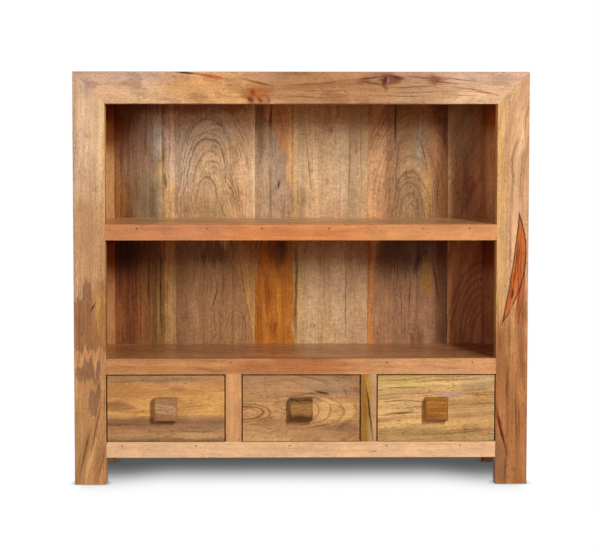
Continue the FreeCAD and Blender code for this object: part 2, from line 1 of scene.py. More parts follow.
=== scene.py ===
"""Looks of a solid mango wood bookcase with three drawers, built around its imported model.

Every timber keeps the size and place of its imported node.  The visible ones are
copied, their long arrises are eased, and each board gets its own wood: colour
across its width, growth rings round a pith line, heartwood patches, knots,
fibres and pores under a satin lacquer.  All sizes are in metres, in the frame
of the part: X along the width, Z up, and the front faces -Y.
"""
import logging
import math
from dataclasses import dataclass
from enum import Enum
from typing import Any, Callable

import bmesh
import bpy
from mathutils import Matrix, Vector


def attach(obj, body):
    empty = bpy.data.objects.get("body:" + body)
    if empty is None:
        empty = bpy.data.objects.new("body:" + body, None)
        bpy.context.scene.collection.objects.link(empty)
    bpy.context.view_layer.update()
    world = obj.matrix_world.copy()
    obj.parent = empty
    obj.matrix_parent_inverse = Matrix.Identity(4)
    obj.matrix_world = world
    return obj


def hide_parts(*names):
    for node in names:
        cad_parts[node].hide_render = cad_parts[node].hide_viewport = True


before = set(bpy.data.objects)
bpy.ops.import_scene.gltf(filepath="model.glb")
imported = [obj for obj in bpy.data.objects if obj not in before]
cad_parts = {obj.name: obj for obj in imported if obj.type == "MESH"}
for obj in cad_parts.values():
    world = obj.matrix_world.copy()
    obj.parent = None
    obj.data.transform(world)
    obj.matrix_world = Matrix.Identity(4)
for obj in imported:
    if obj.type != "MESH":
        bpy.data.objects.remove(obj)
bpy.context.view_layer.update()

logging.basicConfig(level=logging.INFO, format="%(levelname)s %(message)s")
log = logging.getLogger("bookcase")

Colour = tuple[float, float, float, float]
Socket = bpy.types.NodeSocket

IMAGE_WIDTH = 600
SENSOR_WIDTH = 36.0
WHITE: Colour = (1.0, 1.0, 1.0, 1.0)
AIM = (0.0, 0.0, 0.45)


def paint(code: str) -> Colour:
    """Turn a six-digit display colour into the linear colour that a shader takes.

    Args:
        code: Red, green and blue as hexadecimal digits, such as "c08040".

    Returns:
        Linear red, green, blue and an alpha of 1.
    """
    channels = [int(code[start:start + 2], 16) / 255 for start in (0, 2, 4)]
    linear = [c / 12.92 if c <= 0.04045 else ((c + 0.055) / 1.055) ** 2.4 for c in channels]
    return (linear[0], linear[1], linear[2], 1.0)


# ---------------------------------------------------------------- wood finishes


class Grain(Enum):
    """How a board lies: the turn, in degrees, that brings its own axes to X, Y, Z.

    A board's own axes are across its face, through its thickness and along its grain.
    """

    UPRIGHT = (0, 0, 0)  # across X, through Y, along Z
    UPRIGHT_SIDE = (0, 0, -90)  # across Y, through -X, along Z
    CROSSWISE = (0, -90, 180)  # across Z, through -Y, along X
    FLAT = (-90, -90, 0)  # across Y, through Z, along X
    REARWARD = (90, 0, 90)  # across Z, through X, along Y


@dataclass(frozen=True)
class Rings:
    """Growth rings round a pith line that runs along the board.

    Attributes:
        pith: Across, through and along place of one point of the pith line.
        lean: How far the pith line moves across the board per metre along it.
        arch: How sharply the rings close above that point, or below it where it is negative.
        width: Width of one ring.
        wander: How far the rings and stripes stray from straight lines.
        depth: How much the broad bands darken the wood.
        lines: How much the thin dark ring lines darken it.
    """

    pith: tuple[float, float, float] = (0.0, 0.3, 0.0)
    lean: float = 0.0
    arch: float = 0.0
    width: float = 0.008
    wander: float = 0.008
    depth: float = 0.4
    lines: float = 0.3


@dataclass(frozen=True)
class Patch:
    """A ragged pointed patch of other colour on a board, such as heartwood.

    Attributes:
        across: Place of its middle across the board.
        along: Place of its middle along the board.
        half_across: Half of its width.
        half_along: Half of its length.
        colour: Its colour, in hexadecimal digits.
        lean: How far it moves across the board per metre along it.
        bow: How much its middle line curves.
        ragged: How far its ends reach out in teeth along the grain.
        soft: Share of its size over which it fades out.
        amount: How much of its colour covers the board's own.
        rim: How dark its outline is.
        point: Power of the shape of its ends: 2 is pointed, 6 is blunt.
    """

    across: float
    along: float
    half_across: float
    half_along: float
    colour: str
    lean: float = 0.0
    bow: float = 0.0
    ragged: float = 0.03
    soft: float = 0.3
    amount: float = 0.85
    rim: float = 0.0
    point: float = 2.0


@dataclass(frozen=True)
class Streak:
    """A thin dark line or crack that runs roughly along the grain.

    Attributes:
        across: Place of its middle across the board.
        along: Place of its middle along the board.
        half_along: Half of its length.
        width: Its width.
        lean: How far it moves across the board per metre along it.
        bow: How much it curves.
        colour: Colour that it multiplies the wood by.
        amount: How strongly it shows.
    """

    across: float
    along: float
    half_along: float
    width: float = 0.002
    lean: float = 0.0
    bow: float = 0.0
    colour: str = "5a3a24"
    amount: float = 0.8


@dataclass(frozen=True)
class Arch:
    """One ring line that closes in an arch, with legs that run on along the grain.

    Attributes:
        across: Place of its middle across the board.
        along: Where its legs begin.
        half_across: Half of the width between the legs.
        height: Height of the arch over the start of the legs.
        legs: Length of the legs.
        flare: How far each leg moves outwards per metre.
        width: Width of the line.
        amount: How strongly it shows.
    """

    across: float
    along: float
    half_across: float
    height: float
    legs: float = 0.08
    flare: float = 0.0
    width: float = 0.0022
    amount: float = 0.6


@dataclass(frozen=True)
class Knot:
    """A knot that the grain flows round.

    Attributes:
        across: Place of its middle across the board.
        along: Place of its middle along the board.
        radius: Its half width; it is about twice as long along the grain.
        colour: Colour of its heart, in hexadecimal digits.
        amount: How much of its colour covers the board's own.
    """

    across: float
    along: float
    radius: float
    colour: str = "5a2a12"
    amount: float = 0.9


SPECK_TINT = "8f6a4a"
PORE_TINT = "8a6a48"
ARCH_TINT = "8f6b50"
RIM_COLOUR = "3a1608"
HALO_TINT = "b0683c"
KNOT_RING_TINT = "6a3418"
# Tint of the painted shade in the corners of the bays, and the deeper tint of the painted shade beside the
# posts.
PAINTED_SHADE_TINT = "c8966c"
CORNER_PAINTED_SHADE_TINT = "a46a46"
# Pale colour painted on the inner front of the back feet, so that, unlit under the case, they show the grey
# of the floor's painted shadow.
FOOT_SHADE = "d8ccbc"
WORN_STEEL = "3c3a36"
BUMP_STRENGTH = 0.4
BUMP_HEIGHT = 0.0003
SHELF_HEIGHT = 0.560
BAY_REACH = 0.43

# How much lower than elsewhere the painted shade under the top rail and the shelf reaches in the
# upper and the lower bay: pairs of a place along the width and a length.
UPPER_PAINTED_SHADE = ((-0.43, 0.050), (-0.40, 0.030), (-0.37, -0.036), (-0.32, -0.048), (-0.25, -0.048),
               (-0.18, -0.034), (-0.10, -0.010), (0.33, 0.004), (0.365, -0.006), (0.43, 0.010))
LOWER_PAINTED_SHADE = ((-0.43, 0.050), (-0.40, 0.045), (-0.37, 0.020), (-0.33, 0.008), (-0.26, -0.016),
               (-0.19, -0.030), (-0.14, -0.020), (-0.11, 0.030), (-0.05, 0.000), (-0.01, 0.020),
               (0.04, 0.014), (0.13, 0.012), (0.15, 0.030), (0.21, 0.045), (0.25, -0.006), (0.285, -0.014),
               (0.33, 0.020), (0.365, 0.020), (0.385, 0.034), (0.43, 0.045))


@dataclass(frozen=True)
class Timber:
    """The finish of one board of lacquered mango wood.

    Attributes:
        name: Name of the material.
        grain: How the board lies.
        stripes: Pairs of a place across the board and the colour there.
        rings: The growth rings.
        marks: Patches, streaks, arches and knots, the later ones on top.
        band_tint: Colour that the broad ring bands are multiplied by.
        line_tint: Colour that the thin ring lines are multiplied by.
        fibre: How much long fibres vary in brightness.
        grit: How much the fine speckle varies in brightness.
        curl: How much the short ripples across the grain vary in brightness.
        specks: How dark the short dashes along the grain are.
        gloss: Roughness of the lacquer.
        shine: Strength of its reflection.
        grime: How much painted shade darkens it in the corners of the bays.
        seed: Moves the pattern, so that no two boards are alike.
    """

    name: str
    grain: Grain
    stripes: tuple[tuple[float, str], ...]
    rings: Rings = Rings()
    marks: tuple[Patch | Streak | Arch | Knot, ...] = ()
    band_tint: str = "b8987c"
    line_tint: str = "74503a"
    fibre: float = 0.24
    grit: float = 0.32
    curl: float = 0.0
    specks: float = 0.55
    gloss: float = 0.42
    shine: float = 0.11
    grime: float = 0.0
    seed: float = 0.0

    def material(self) -> bpy.types.Material:
        """Build the board's material from the shared node groups.

        Returns:
            The new material.
        """
        material = bpy.data.materials.new(self.name)
        material.use_nodes = True
        wiring = Wiring(material.node_tree)
        place = wiring.add("ShaderNodeTexCoord").outputs["Object"]
        turn = wiring.add("ShaderNodeMapping", vector_type="POINT")
        turn.inputs["Rotation"].default_value = [math.radians(angle) for angle in self.grain.value]
        wiring.feed(turn.inputs["Vector"], place)
        board = turn.outputs["Vector"]

        fibres = wiring.group("wood_fibres", Board=board, Seed=self.seed)
        corners = None
        if self.grime:
            corners = wiring.group("painted_corner_shade", Place=place, Lumps=fibres.outputs["Lumps"])
        knots = {}
        for mark in self.marks:
            if isinstance(mark, Knot):
                knots[mark] = wiring.group("wood_knot", Board=board, Across=mark.across, Along=mark.along,
                                           Radius=mark.radius, Lumps=fibres.outputs["Lumps"])
                board = knots[mark].outputs["Board"]

        rings = wiring.group("wood_rings", Board=board, Pith=self.rings.pith, Lean=self.rings.lean,
                             Arch=self.rings.arch, Width=self.rings.width, Wander=self.rings.wander,
                             Seed=self.seed)
        low, high = self.stripes[0][0], self.stripes[-1][0]
        stops = [((across - low) / (high - low), paint(code)) for across, code in self.stripes]
        colour = wiring.ramp(wiring.number(rings, "Across").linear(low, high), stops)
        shown = wiring.number(corners, "Inside") if corners else 1.0
        for mark in self.marks:
            if isinstance(mark, Knot):
                colour = self.add_knot(wiring, colour, mark, knots[mark])
            else:
                colour = self.add_mark(wiring, colour, mark, board, fibres, shown)

        colour = self.toned(wiring, colour, rings, fibres)
        # Painted shade in the corners of the bays, and the pale colour painted on the back feet under the
        # case.
        if corners:
            bay_shade = wiring.number(corners, "Mask") * self.grime
            colour = wiring.mix(bay_shade, colour, paint(PAINTED_SHADE_TINT), "MULTIPLY")
            deepest_shade = wiring.number(corners, "Corner Shade") * self.grime
            colour = wiring.mix(deepest_shade, colour, paint(CORNER_PAINTED_SHADE_TINT), "MULTIPLY")
            colour = wiring.mix(corners.outputs["Foot"], colour, paint(FOOT_SHADE))
        self.finish(wiring, colour, rings, fibres)
        return material

    def toned(self, wiring: "Wiring", colour: Socket, rings: bpy.types.Node,
              fibres: bpy.types.Node) -> Socket:
        """Tone the colour by the rings, fibres, specks and pores.

        Args:
            wiring: Writer of the material's tree.
            colour: Colour so far.
            rings: The ring group's node.
            fibres: The fibre group's node.

        Returns:
            The toned colour.
        """
        masks = {name: fibres.outputs[name]
                 for name in ("Fibre", "Grit", "Curl", "Mottle", "Specks", "Pores")}
        amounts = {"Band Tint": paint(self.band_tint), "Line Tint": paint(self.line_tint),
                   "Band Amount": self.rings.depth, "Line Amount": self.rings.lines,
                   "Fibre Amount": self.fibre, "Grit Amount": self.grit, "Curl Amount": self.curl,
                   "Speck Amount": self.specks, "Lift": self.lift()}
        tone = wiring.group("wood_tone", Colour=colour, Bands=rings.outputs["Bands"],
                            Lines=rings.outputs["Lines"], **masks, **amounts)
        return tone.outputs["Colour"]

    def finish(self, wiring: "Wiring", colour: Socket, rings: bpy.types.Node,
               fibres: bpy.types.Node) -> None:
        """Give the colour to the shader and put the lacquer over it.

        Args:
            wiring: Writer of the material's tree.
            colour: The wood's colour.
            rings: The ring group's node.
            fibres: The fibre group's node.
        """
        shader = wiring.tree.nodes["Principled BSDF"]
        lacquer = wiring.group("lacquer", Gloss=self.gloss, Fibre=fibres.outputs["Fibre"],
                               Pores=fibres.outputs["Pores"], Lumps=fibres.outputs["Lumps"],
                               Lines=rings.outputs["Lines"])
        bump = wiring.add("ShaderNodeBump")
        bump.inputs["Strength"].default_value = BUMP_STRENGTH
        bump.inputs["Distance"].default_value = BUMP_HEIGHT
        wiring.feed(bump.inputs["Height"], lacquer.outputs["Height"])
        wiring.feed(shader.inputs["Base Color"], colour)
        wiring.feed(shader.inputs["Roughness"], lacquer.outputs["Roughness"])
        wiring.feed(shader.inputs["Specular IOR Level"], self.shine)
        wiring.feed(shader.inputs["Normal"], bump.outputs["Normal"])

    def lift(self) -> Colour:
        """Make up for what bands, lines and specks darken on average.

        Returns:
            The factor as a colour.
        """
        shares = ((0.5 * self.rings.depth, self.band_tint), (0.12 * self.rings.lines, self.line_tint),
                  (0.18 * self.specks, SPECK_TINT))
        factor = [1.0, 1.0, 1.0]
        for share, tint in shares:
            factor = [old / (1.0 - share * (1.0 - part)) for old, part in zip(factor, paint(tint))]
        return (factor[0], factor[1], factor[2], 1.0)

    @staticmethod
    def add_knot(wiring: "Wiring", colour: Socket, knot: Knot, made: bpy.types.Node) -> Socket:
        """Lay one knot over the colour so far.

        Args:
            wiring: Writer of the material's tree.
            colour: Colour so far.
            knot: The knot.
            made: The knot's group node.

        Returns:
            The colour with the knot on it.
        """
        halo = wiring.number(made, "Halo") * (knot.amount * 0.45)
        colour = wiring.mix(halo, colour, paint(HALO_TINT), "MULTIPLY")
        colour = wiring.mix(wiring.number(made, "Mask") * knot.amount, colour, paint(knot.colour))
        turns = wiring.number(made, "Rings") * (knot.amount * 0.4)
        return wiring.mix(turns, colour, paint(KNOT_RING_TINT), "MULTIPLY")

    @staticmethod
    def add_mark(wiring: "Wiring", colour: Socket, mark: Patch | Streak | Arch, board: Socket,
                 fibres: bpy.types.Node, shown: "Number | float") -> Socket:
        """Lay one patch, streak or arch over the colour so far.

        Args:
            wiring: Writer of the material's tree.
            colour: Colour so far.
            mark: What to lay on.
            board: Place on the board.
            fibres: The fibre group's node, whose teeth and lumps shape the outline.
            shown: Share of a patch that shows, which is nothing on the back of the boards.

        Returns:
            The colour with the mark on it.
        """
        group = {Patch: "heart_patch", Streak: "dark_streak", Arch: "ring_arch"}[type(mark)]
        made = wiring.group(group, Board=board, Lumps=fibres.outputs["Lumps"],
                            Teeth=fibres.outputs["Teeth"])
        for name, value in vars(mark).items():
            socket = made.inputs.get(name.replace("_", " ").title())
            if socket:
                socket.default_value = value
        cover = wiring.number(made, "Mask") * mark.amount
        if isinstance(mark, Arch):
            return wiring.mix(cover, colour, paint(ARCH_TINT), "MULTIPLY")
        if isinstance(mark, Streak):
            return wiring.mix(cover, colour, paint(mark.colour), "MULTIPLY")
        colour = wiring.mix(cover * shown, colour, paint(mark.colour))
        if mark.rim:
            colour = wiring.mix(wiring.number(made, "Rim") * (shown * mark.rim), colour, paint(RIM_COLOUR))
        return colour


@dataclass(frozen=True)
class Steel:
    """The finish of small turned or drawn steel pieces.

    Attributes:
        name: Name of the material.
        colour: Its colour, in hexadecimal digits.
        roughness: Mean roughness.
    """

    name: str
    colour: str
    roughness: float

    def material(self) -> bpy.types.Material:
        """Build a metal with fine scratches.

        Returns:
            The new material.
        """
        material = bpy.data.materials.new(self.name)
        material.use_nodes = True
        wiring = Wiring(material.node_tree)
        shader = material.node_tree.nodes["Principled BSDF"]
        place = wiring.add("ShaderNodeTexCoord").outputs["Object"]
        wear = wiring.number(wiring.noise(place, 900.0, 3.0, 0.6), "Fac")
        tint = wiring.mix(wear.linear(0.35, 0.7), paint(self.colour), paint(WORN_STEEL))
        spread = wear.linear(0.3, 0.7, self.roughness - 0.1, self.roughness + 0.1)
        wiring.feed(shader.inputs["Base Color"], tint)
        wiring.feed(shader.inputs["Roughness"], spread)
        shader.inputs["Metallic"].default_value = 1.0
        return material


# ---------------------------------------------------------------- node writing


class Number:
    """A number that nodes give out; arithmetic on it adds the nodes that work out the result."""

    def __init__(self, wiring: "Wiring", socket: Socket) -> None:
        """Take a socket that gives a number in the tree of this writer."""
        self.wiring = wiring
        self.socket = socket

    def __add__(self, other: "Number | float") -> "Number":
        """Return the sum of two numbers."""
        return self.wiring.math("ADD", self, other)

    def __sub__(self, other: "Number | float") -> "Number":
        """Return this number less another."""
        return self.wiring.math("SUBTRACT", self, other)

    def __rsub__(self, other: float) -> "Number":
        """Return a plain number less this one."""
        return self.wiring.math("SUBTRACT", other, self)

    def __mul__(self, other: "Number | float") -> "Number":
        """Return the product of two numbers."""
        return self.wiring.math("MULTIPLY", self, other)

    def __truediv__(self, other: "Number | float") -> "Number":
        """Return this number divided by another."""
        return self.wiring.math("DIVIDE", self, other)

    def __pow__(self, power: "Number | float") -> "Number":
        """Return this number raised to a power."""
        return self.wiring.math("POWER", self, power)

    def __abs__(self) -> "Number":
        """Return the size of this number without its sign."""
        return self.wiring.math("ABSOLUTE", self)

    __radd__ = __add__

    def root(self) -> "Number":
        """Return the square root."""
        return self.wiring.math("SQRT", self)

    def at_least(self, other: "Number | float") -> "Number":
        """Return the larger of two numbers."""
        return self.wiring.math("MAXIMUM", self, other)

    def linear(self, low: Any, high: Any, to_low: float = 0.0, to_high: float = 1.0) -> "Number":
        """Return this number stretched from one range to another and kept inside it."""
        return self.wiring.remap("LINEAR", self, low, high, to_low, to_high)

    def smooth(self, low: Any, high: Any, to_low: float = 0.0, to_high: float = 1.0) -> "Number":
        """Return this number stretched in the same way, with a soft start and end."""
        return self.wiring.remap("SMOOTHSTEP", self, low, high, to_low, to_high)


class Wiring:
    """Adds nodes to one node tree and links them."""

    def __init__(self, tree: bpy.types.NodeTree) -> None:
        """Write into this tree."""
        self.tree = tree

    def add(self, kind: str, **settings: Any) -> bpy.types.Node:
        """Add a node and set its options.

        Args:
            kind: The node's type, such as "ShaderNodeMath".
            **settings: Options of the node by name.

        Returns:
            The new node.
        """
        node = self.tree.nodes.new(kind)
        for name, value in settings.items():
            setattr(node, name, value)
        return node

    def feed(self, socket: Socket, value: Any) -> None:
        """Link a socket to an output, or give it a plain value.

        Args:
            socket: The input that takes the value.
            value: A number that nodes give out, another node's output or a plain value.
        """
        if isinstance(value, Number):
            value = value.socket
        if isinstance(value, bpy.types.NodeSocket):
            self.tree.links.new(value, socket)
        else:
            socket.default_value = value

    def feed_all(self, node: bpy.types.Node, values: tuple[Any, ...]) -> None:
        """Feed the first inputs of a node in their order."""
        for socket, value in zip(node.inputs, values):
            self.feed(socket, value)

    def group(self, name: str, **values: Any) -> bpy.types.Node:
        """Place one of the shared node groups.

        Args:
            name: Name of the group.
            **values: Links or plain values for its inputs by name.

        Returns:
            The group's node.
        """
        node = self.add("ShaderNodeGroup", node_tree=shared_group(name))
        for socket_name, value in values.items():
            self.feed(node.inputs[socket_name], value)
        return node

    def number(self, node: bpy.types.Node, output: str) -> Number:
        """Return a node's output that gives a number."""
        return Number(self, node.outputs[output])

    def math(self, operation: str, *values: Any) -> Number:
        """Combine numbers with a Math node and return the result.

        Args:
            operation: What the node does, such as "ADD".
            *values: The numbers that it takes.

        Returns:
            The result.
        """
        node = self.add("ShaderNodeMath", operation=operation)
        self.feed_all(node, values)
        return self.number(node, "Value")

    def vector(self, operation: str, *values: Any) -> Socket:
        """Combine vectors with a Vector Math node.

        Args:
            operation: What the node does, such as "ADD".
            *values: The vectors that it takes.

        Returns:
            The vector that it gives out.
        """
        node = self.add("ShaderNodeVectorMath", operation=operation)
        self.feed_all(node, values)
        return node.outputs["Vector"]

    def split(self, vector: Socket) -> tuple[Number, Number, Number]:
        """Split a vector into its three parts.

        Args:
            vector: The vector.

        Returns:
            Its parts along X, Y and Z.
        """
        node = self.add("ShaderNodeSeparateXYZ")
        self.feed(node.inputs["Vector"], vector)
        return self.number(node, "X"), self.number(node, "Y"), self.number(node, "Z")

    def join(self, *parts: Any) -> Socket:
        """Make a vector from three numbers.

        Args:
            *parts: The numbers along X, Y and Z.

        Returns:
            The vector.
        """
        node = self.add("ShaderNodeCombineXYZ")
        self.feed_all(node, parts)
        return node.outputs["Vector"]

    def noise(self, place: Any, scale: float, detail: float, roughness: float,
              flat: bool = False) -> bpy.types.Node:
        """Add a noise texture.

        Args:
            place: A vector, or a number where the noise runs along one line.
            scale: How often the pattern repeats per unit.
            detail: Number of finer layers.
            roughness: Weight of the finer layers.
            flat: Whether place is a number.

        Returns:
            The texture's node.
        """
        node = self.add("ShaderNodeTexNoise", noise_dimensions="1D" if flat else "3D")
        self.feed(node.inputs["W" if flat else "Vector"], place)
        node.inputs["Scale"].default_value = scale
        node.inputs["Detail"].default_value = detail
        node.inputs["Roughness"].default_value = roughness
        return node

    def remap(self, kind: str, *values: Any) -> Number:
        """Stretch a number from one range to another with a Map Range node.

        Args:
            kind: The node's interpolation, "LINEAR" or "SMOOTHSTEP".
            *values: The number, then both ends of the first and of the second range.

        Returns:
            The stretched number, which stays inside the second range.
        """
        node = self.add("ShaderNodeMapRange", interpolation_type=kind)
        self.feed_all(node, values)
        return self.number(node, "Result")

    def mix(self, amount: Any, first: Any, second: Any, blend: str = "MIX") -> Socket:
        """Mix two colours.

        Args:
            amount: How much of the second colour goes in.
            first: The first colour.
            second: The second colour.
            blend: How the second acts on the first, such as "MULTIPLY".

        Returns:
            The mixed colour.
        """
        node = self.add("ShaderNodeMix", data_type="RGBA", blend_type=blend)
        self.feed(node.inputs["Factor"], amount)
        takes = [socket for socket in node.inputs if socket.type == "RGBA"]
        self.feed(takes[0], first)
        self.feed(takes[1], second)
        return next(socket for socket in node.outputs if socket.type == "RGBA")

    def ramp(self, amount: Number, stops: list[tuple[float, Colour]]) -> Socket:
        """Turn a number into a colour with a colour ramp.

        Args:
            amount: The number.
            stops: Pairs of a place between 0 and 1 and the colour there.

        Returns:
            The colour.
        """
        node = self.add("ShaderNodeValToRGB")
        elements = node.color_ramp.elements
        while len(elements) < len(stops):
            elements.new(0.5)
        for element, (position, colour) in zip(elements, stops):
            element.position = position
            element.color = colour
        self.feed(node.inputs["Fac"], amount)
        return node.outputs["Color"]


SOCKET_KINDS = {"vector": "NodeSocketVector", "number": "NodeSocketFloat", "colour": "NodeSocketColor"}


def numbers(*names: str) -> dict[str, str]:
    """Return the kinds of sockets that all carry a number, by name."""
    return {name: "number" for name in names}


def start_group(name: str, takes: dict[str, str], gives: dict[str, str]) -> tuple[
        bpy.types.NodeTree, Wiring, dict[str, Any], dict[str, Socket]]:
    """Start a shader node group with named sockets.

    Args:
        name: Name of the group.
        takes: Kinds of its inputs by name.
        gives: Kinds of its outputs by name.

    Returns:
        The group, its writer, what its inputs give and the sockets that its outputs take.
    """
    group = bpy.data.node_groups.new(name, "ShaderNodeTree")
    for direction, sockets in (("INPUT", takes), ("OUTPUT", gives)):
        for socket_name, kind in sockets.items():
            group.interface.new_socket(name=socket_name, in_out=direction, socket_type=SOCKET_KINDS[kind])
    wiring = Wiring(group)
    source = wiring.add("NodeGroupInput")
    target = wiring.add("NodeGroupOutput")
    given = {taken: wiring.number(source, taken) if kind == "number" else source.outputs[taken]
             for taken, kind in takes.items()}
    return group, wiring, given, {made: target.inputs[made] for made in gives}


def rings_group() -> bpy.types.NodeTree:
    """Growth rings: bands and thin lines at equal distance from a strayed pith line.

    Returns:
        The group.
    """
    takes = {"Board": "vector", "Pith": "vector", **numbers("Lean", "Arch", "Width", "Wander", "Seed")}
    group, wiring, given, out = start_group("wood_rings", takes, numbers("Bands", "Lines", "Across"))
    shift = wiring.join(given["Seed"], given["Seed"] * 1.7, given["Seed"])
    seeded = wiring.vector("ADD", given["Board"], shift)

    def stretched(across: float, along: float, detail: float, roughness: float) -> bpy.types.Node:
        """Noise that is drawn out along the grain."""
        place = wiring.vector("MULTIPLY", seeded, (across, across, along))
        return wiring.noise(place, 1.0, detail, roughness)

    def straying(noise: bpy.types.Node, reach: float) -> Socket:
        """Shift across and through the board, as far as this reach each way."""
        centred = wiring.vector("SUBTRACT", noise.outputs["Color"], (0.5, 0.5, 0.5))
        return wiring.vector("MULTIPLY", centred, (reach, reach, 0.0))

    stray = wiring.vector("ADD", straying(stretched(9.0, 3.6, 2.0, 0.5), 3.0),
                          straying(stretched(48.0, 22.0, 3.0, 0.6), 0.9))
    wander = wiring.join(given["Wander"], given["Wander"], given["Wander"])
    strayed = wiring.vector("ADD", given["Board"], wiring.vector("MULTIPLY", stray, wander))
    across, through, along = wiring.split(strayed)
    pith_across, pith_through, pith_along = wiring.split(given["Pith"])
    reach = along - pith_along
    side = across - pith_across - given["Lean"] * reach
    deep = abs(through - pith_through) + (given["Arch"] * reach).at_least(0.0)
    count = (side * side + deep * deep).root() / given["Width"] + given["Seed"]
    broad = wiring.number(wiring.noise(count, 0.31, 3.0, 0.55, flat=True), "Fac")
    fine = wiring.number(wiring.noise(count, 1.15, 1.5, 0.5, flat=True), "Fac")
    breaks = wiring.number(stretched(40.0, 9.0, 2.0, 0.5), "Fac")
    wiring.feed(out["Bands"], broad.smooth(0.32, 0.68))
    wiring.feed(out["Lines"], abs(fine - 0.5).smooth(0.075, 0.0) * breaks.smooth(0.40, 0.62))
    wiring.feed(out["Across"], across)
    return group


def fibres_group() -> bpy.types.NodeTree:
    """Fibres, speckle, pores and mottle that run along a board, and noise for ragged outlines.

    Returns:
        The group.
    """
    group, wiring, given, out = start_group(
        "wood_fibres", {"Board": "vector", "Seed": "number"},
        numbers("Fibre", "Grit", "Curl", "Pores", "Specks", "Mottle", "Teeth", "Lumps"))
    shift = wiring.join(given["Seed"] * 2.3, given["Seed"], given["Seed"] * 0.7)
    seeded = wiring.vector("ADD", given["Board"], shift)

    def stretched(across: float, along: float, detail: float, roughness: float) -> Number:
        """Noise that is drawn out along the grain."""
        place = wiring.vector("MULTIPLY", seeded, (across, across, along))
        return wiring.number(wiring.noise(place, 1.0, detail, roughness), "Fac")

    crowded = stretched(26.0, 9.0, 2.0, 0.5).linear(0.40, 0.62, 0.25, 1.0)
    wiring.feed(out["Fibre"], stretched(190.0, 9.0, 4.0, 0.62).linear(0.3, 0.7))
    wiring.feed(out["Grit"], stretched(430.0, 190.0, 2.0, 0.6).linear(0.3, 0.7))
    wiring.feed(out["Curl"], stretched(75.0, 190.0, 2.0, 0.6).linear(0.3, 0.7))
    wiring.feed(out["Pores"], stretched(1300.0, 90.0, 1.0, 0.5).smooth(0.6, 0.7))
    wiring.feed(out["Specks"], stretched(430.0, 75.0, 1.5, 0.55).smooth(0.57, 0.68) * crowded)
    wiring.feed(out["Mottle"], stretched(40.0, 22.0, 2.0, 0.55).linear(0.3, 0.7))
    wiring.feed(out["Teeth"], stretched(120.0, 6.0, 3.0, 0.6) - 0.5)
    wiring.feed(out["Lumps"], stretched(34.0, 14.0, 3.0, 0.55) - 0.5)
    return group


def off_line(wiring: Wiring, given: dict[str, Any]) -> tuple[Number, Number]:
    """Measure how far a place lies beside and along a leaning, bowed middle line.

    Args:
        wiring: Writer of the group.
        given: What the group's inputs give.

    Returns:
        The distances across and along.
    """
    across, _, along = wiring.split(given["Board"])
    reach = along - given["Along"]
    leaning = given["Lean"] * reach + given["Bow"] * (reach * reach)
    return across - given["Across"] - leaning, reach


def thin_line(given: dict[str, Any], off: Number) -> Number:
    """Return the mask of a line of uneven width, from how far a place lies off its middle."""
    width = given["Width"] * (given["Teeth"] * 1.2 + 1.0)
    return off.smooth(width, width * 0.2)


def patch_group() -> bpy.types.NodeTree:
    """The mask and the outline of a long, pointed, ragged patch.

    Returns:
        The group.
    """
    takes = {"Board": "vector", **numbers("Across", "Along", "Half Across", "Half Along", "Lean", "Bow",
                                          "Ragged", "Soft", "Point", "Teeth", "Lumps")}
    group, wiring, given, out = start_group("heart_patch", takes, numbers("Mask", "Rim"))
    teeth, lumps, ragged = given["Teeth"], given["Lumps"], given["Ragged"]
    side, reach = off_line(wiring, given)
    wobble, stretch, fray = ragged * 0.6, ragged * 4.0, ragged * 34.0
    side = abs(side + lumps * wobble) / given["Half Across"]
    reach = abs(reach + teeth * stretch) / given["Half Along"]
    uneven = (lumps + teeth * 0.6) * fray
    radius = side + reach ** given["Point"] + uneven
    wiring.feed(out["Mask"], radius.smooth(1.0 + given["Soft"], 1.0 - given["Soft"]))
    wiring.feed(out["Rim"], abs(radius - 1.0).smooth(0.22, 0.0))
    return group


def streak_group() -> bpy.types.NodeTree:
    """The mask of a thin line that leans, bows and wobbles a little.

    Returns:
        The group.
    """
    takes = {"Board": "vector", **numbers("Across", "Along", "Half Along", "Width", "Lean", "Bow",
                                          "Teeth", "Lumps")}
    group, wiring, given, out = start_group("dark_streak", takes, numbers("Mask"))
    side, reach = off_line(wiring, given)
    taper = (abs(reach) / given["Half Along"]).linear(1.0, 0.3)
    wiring.feed(out["Mask"], thin_line(given, abs(side + given["Lumps"] * 0.009)) * taper)
    return group


def arch_group() -> bpy.types.NodeTree:
    """The mask of one ring line that closes in an arch over two legs.

    Returns:
        The group.
    """
    takes = {"Board": "vector", **numbers("Across", "Along", "Half Across", "Height", "Legs", "Flare",
                                          "Width", "Teeth", "Lumps")}
    group, wiring, given, out = start_group("ring_arch", takes, numbers("Mask"))
    across, _, along = wiring.split(given["Board"])
    side = across - given["Across"] + given["Lumps"] * 0.022 + given["Teeth"] * 0.006
    reach = along - given["Along"] + given["Lumps"] * 0.012
    above = reach.at_least(0.0) * (given["Half Across"] / given["Height"])
    below = (reach * -1.0).at_least(0.0)
    radius = (side * side + above * above).root()
    wanted = given["Half Across"] + below * given["Flare"]
    fade = below.linear(given["Legs"], given["Legs"] * 0.4)
    wiring.feed(out["Mask"], thin_line(given, abs(radius - wanted)) * fade)
    return group


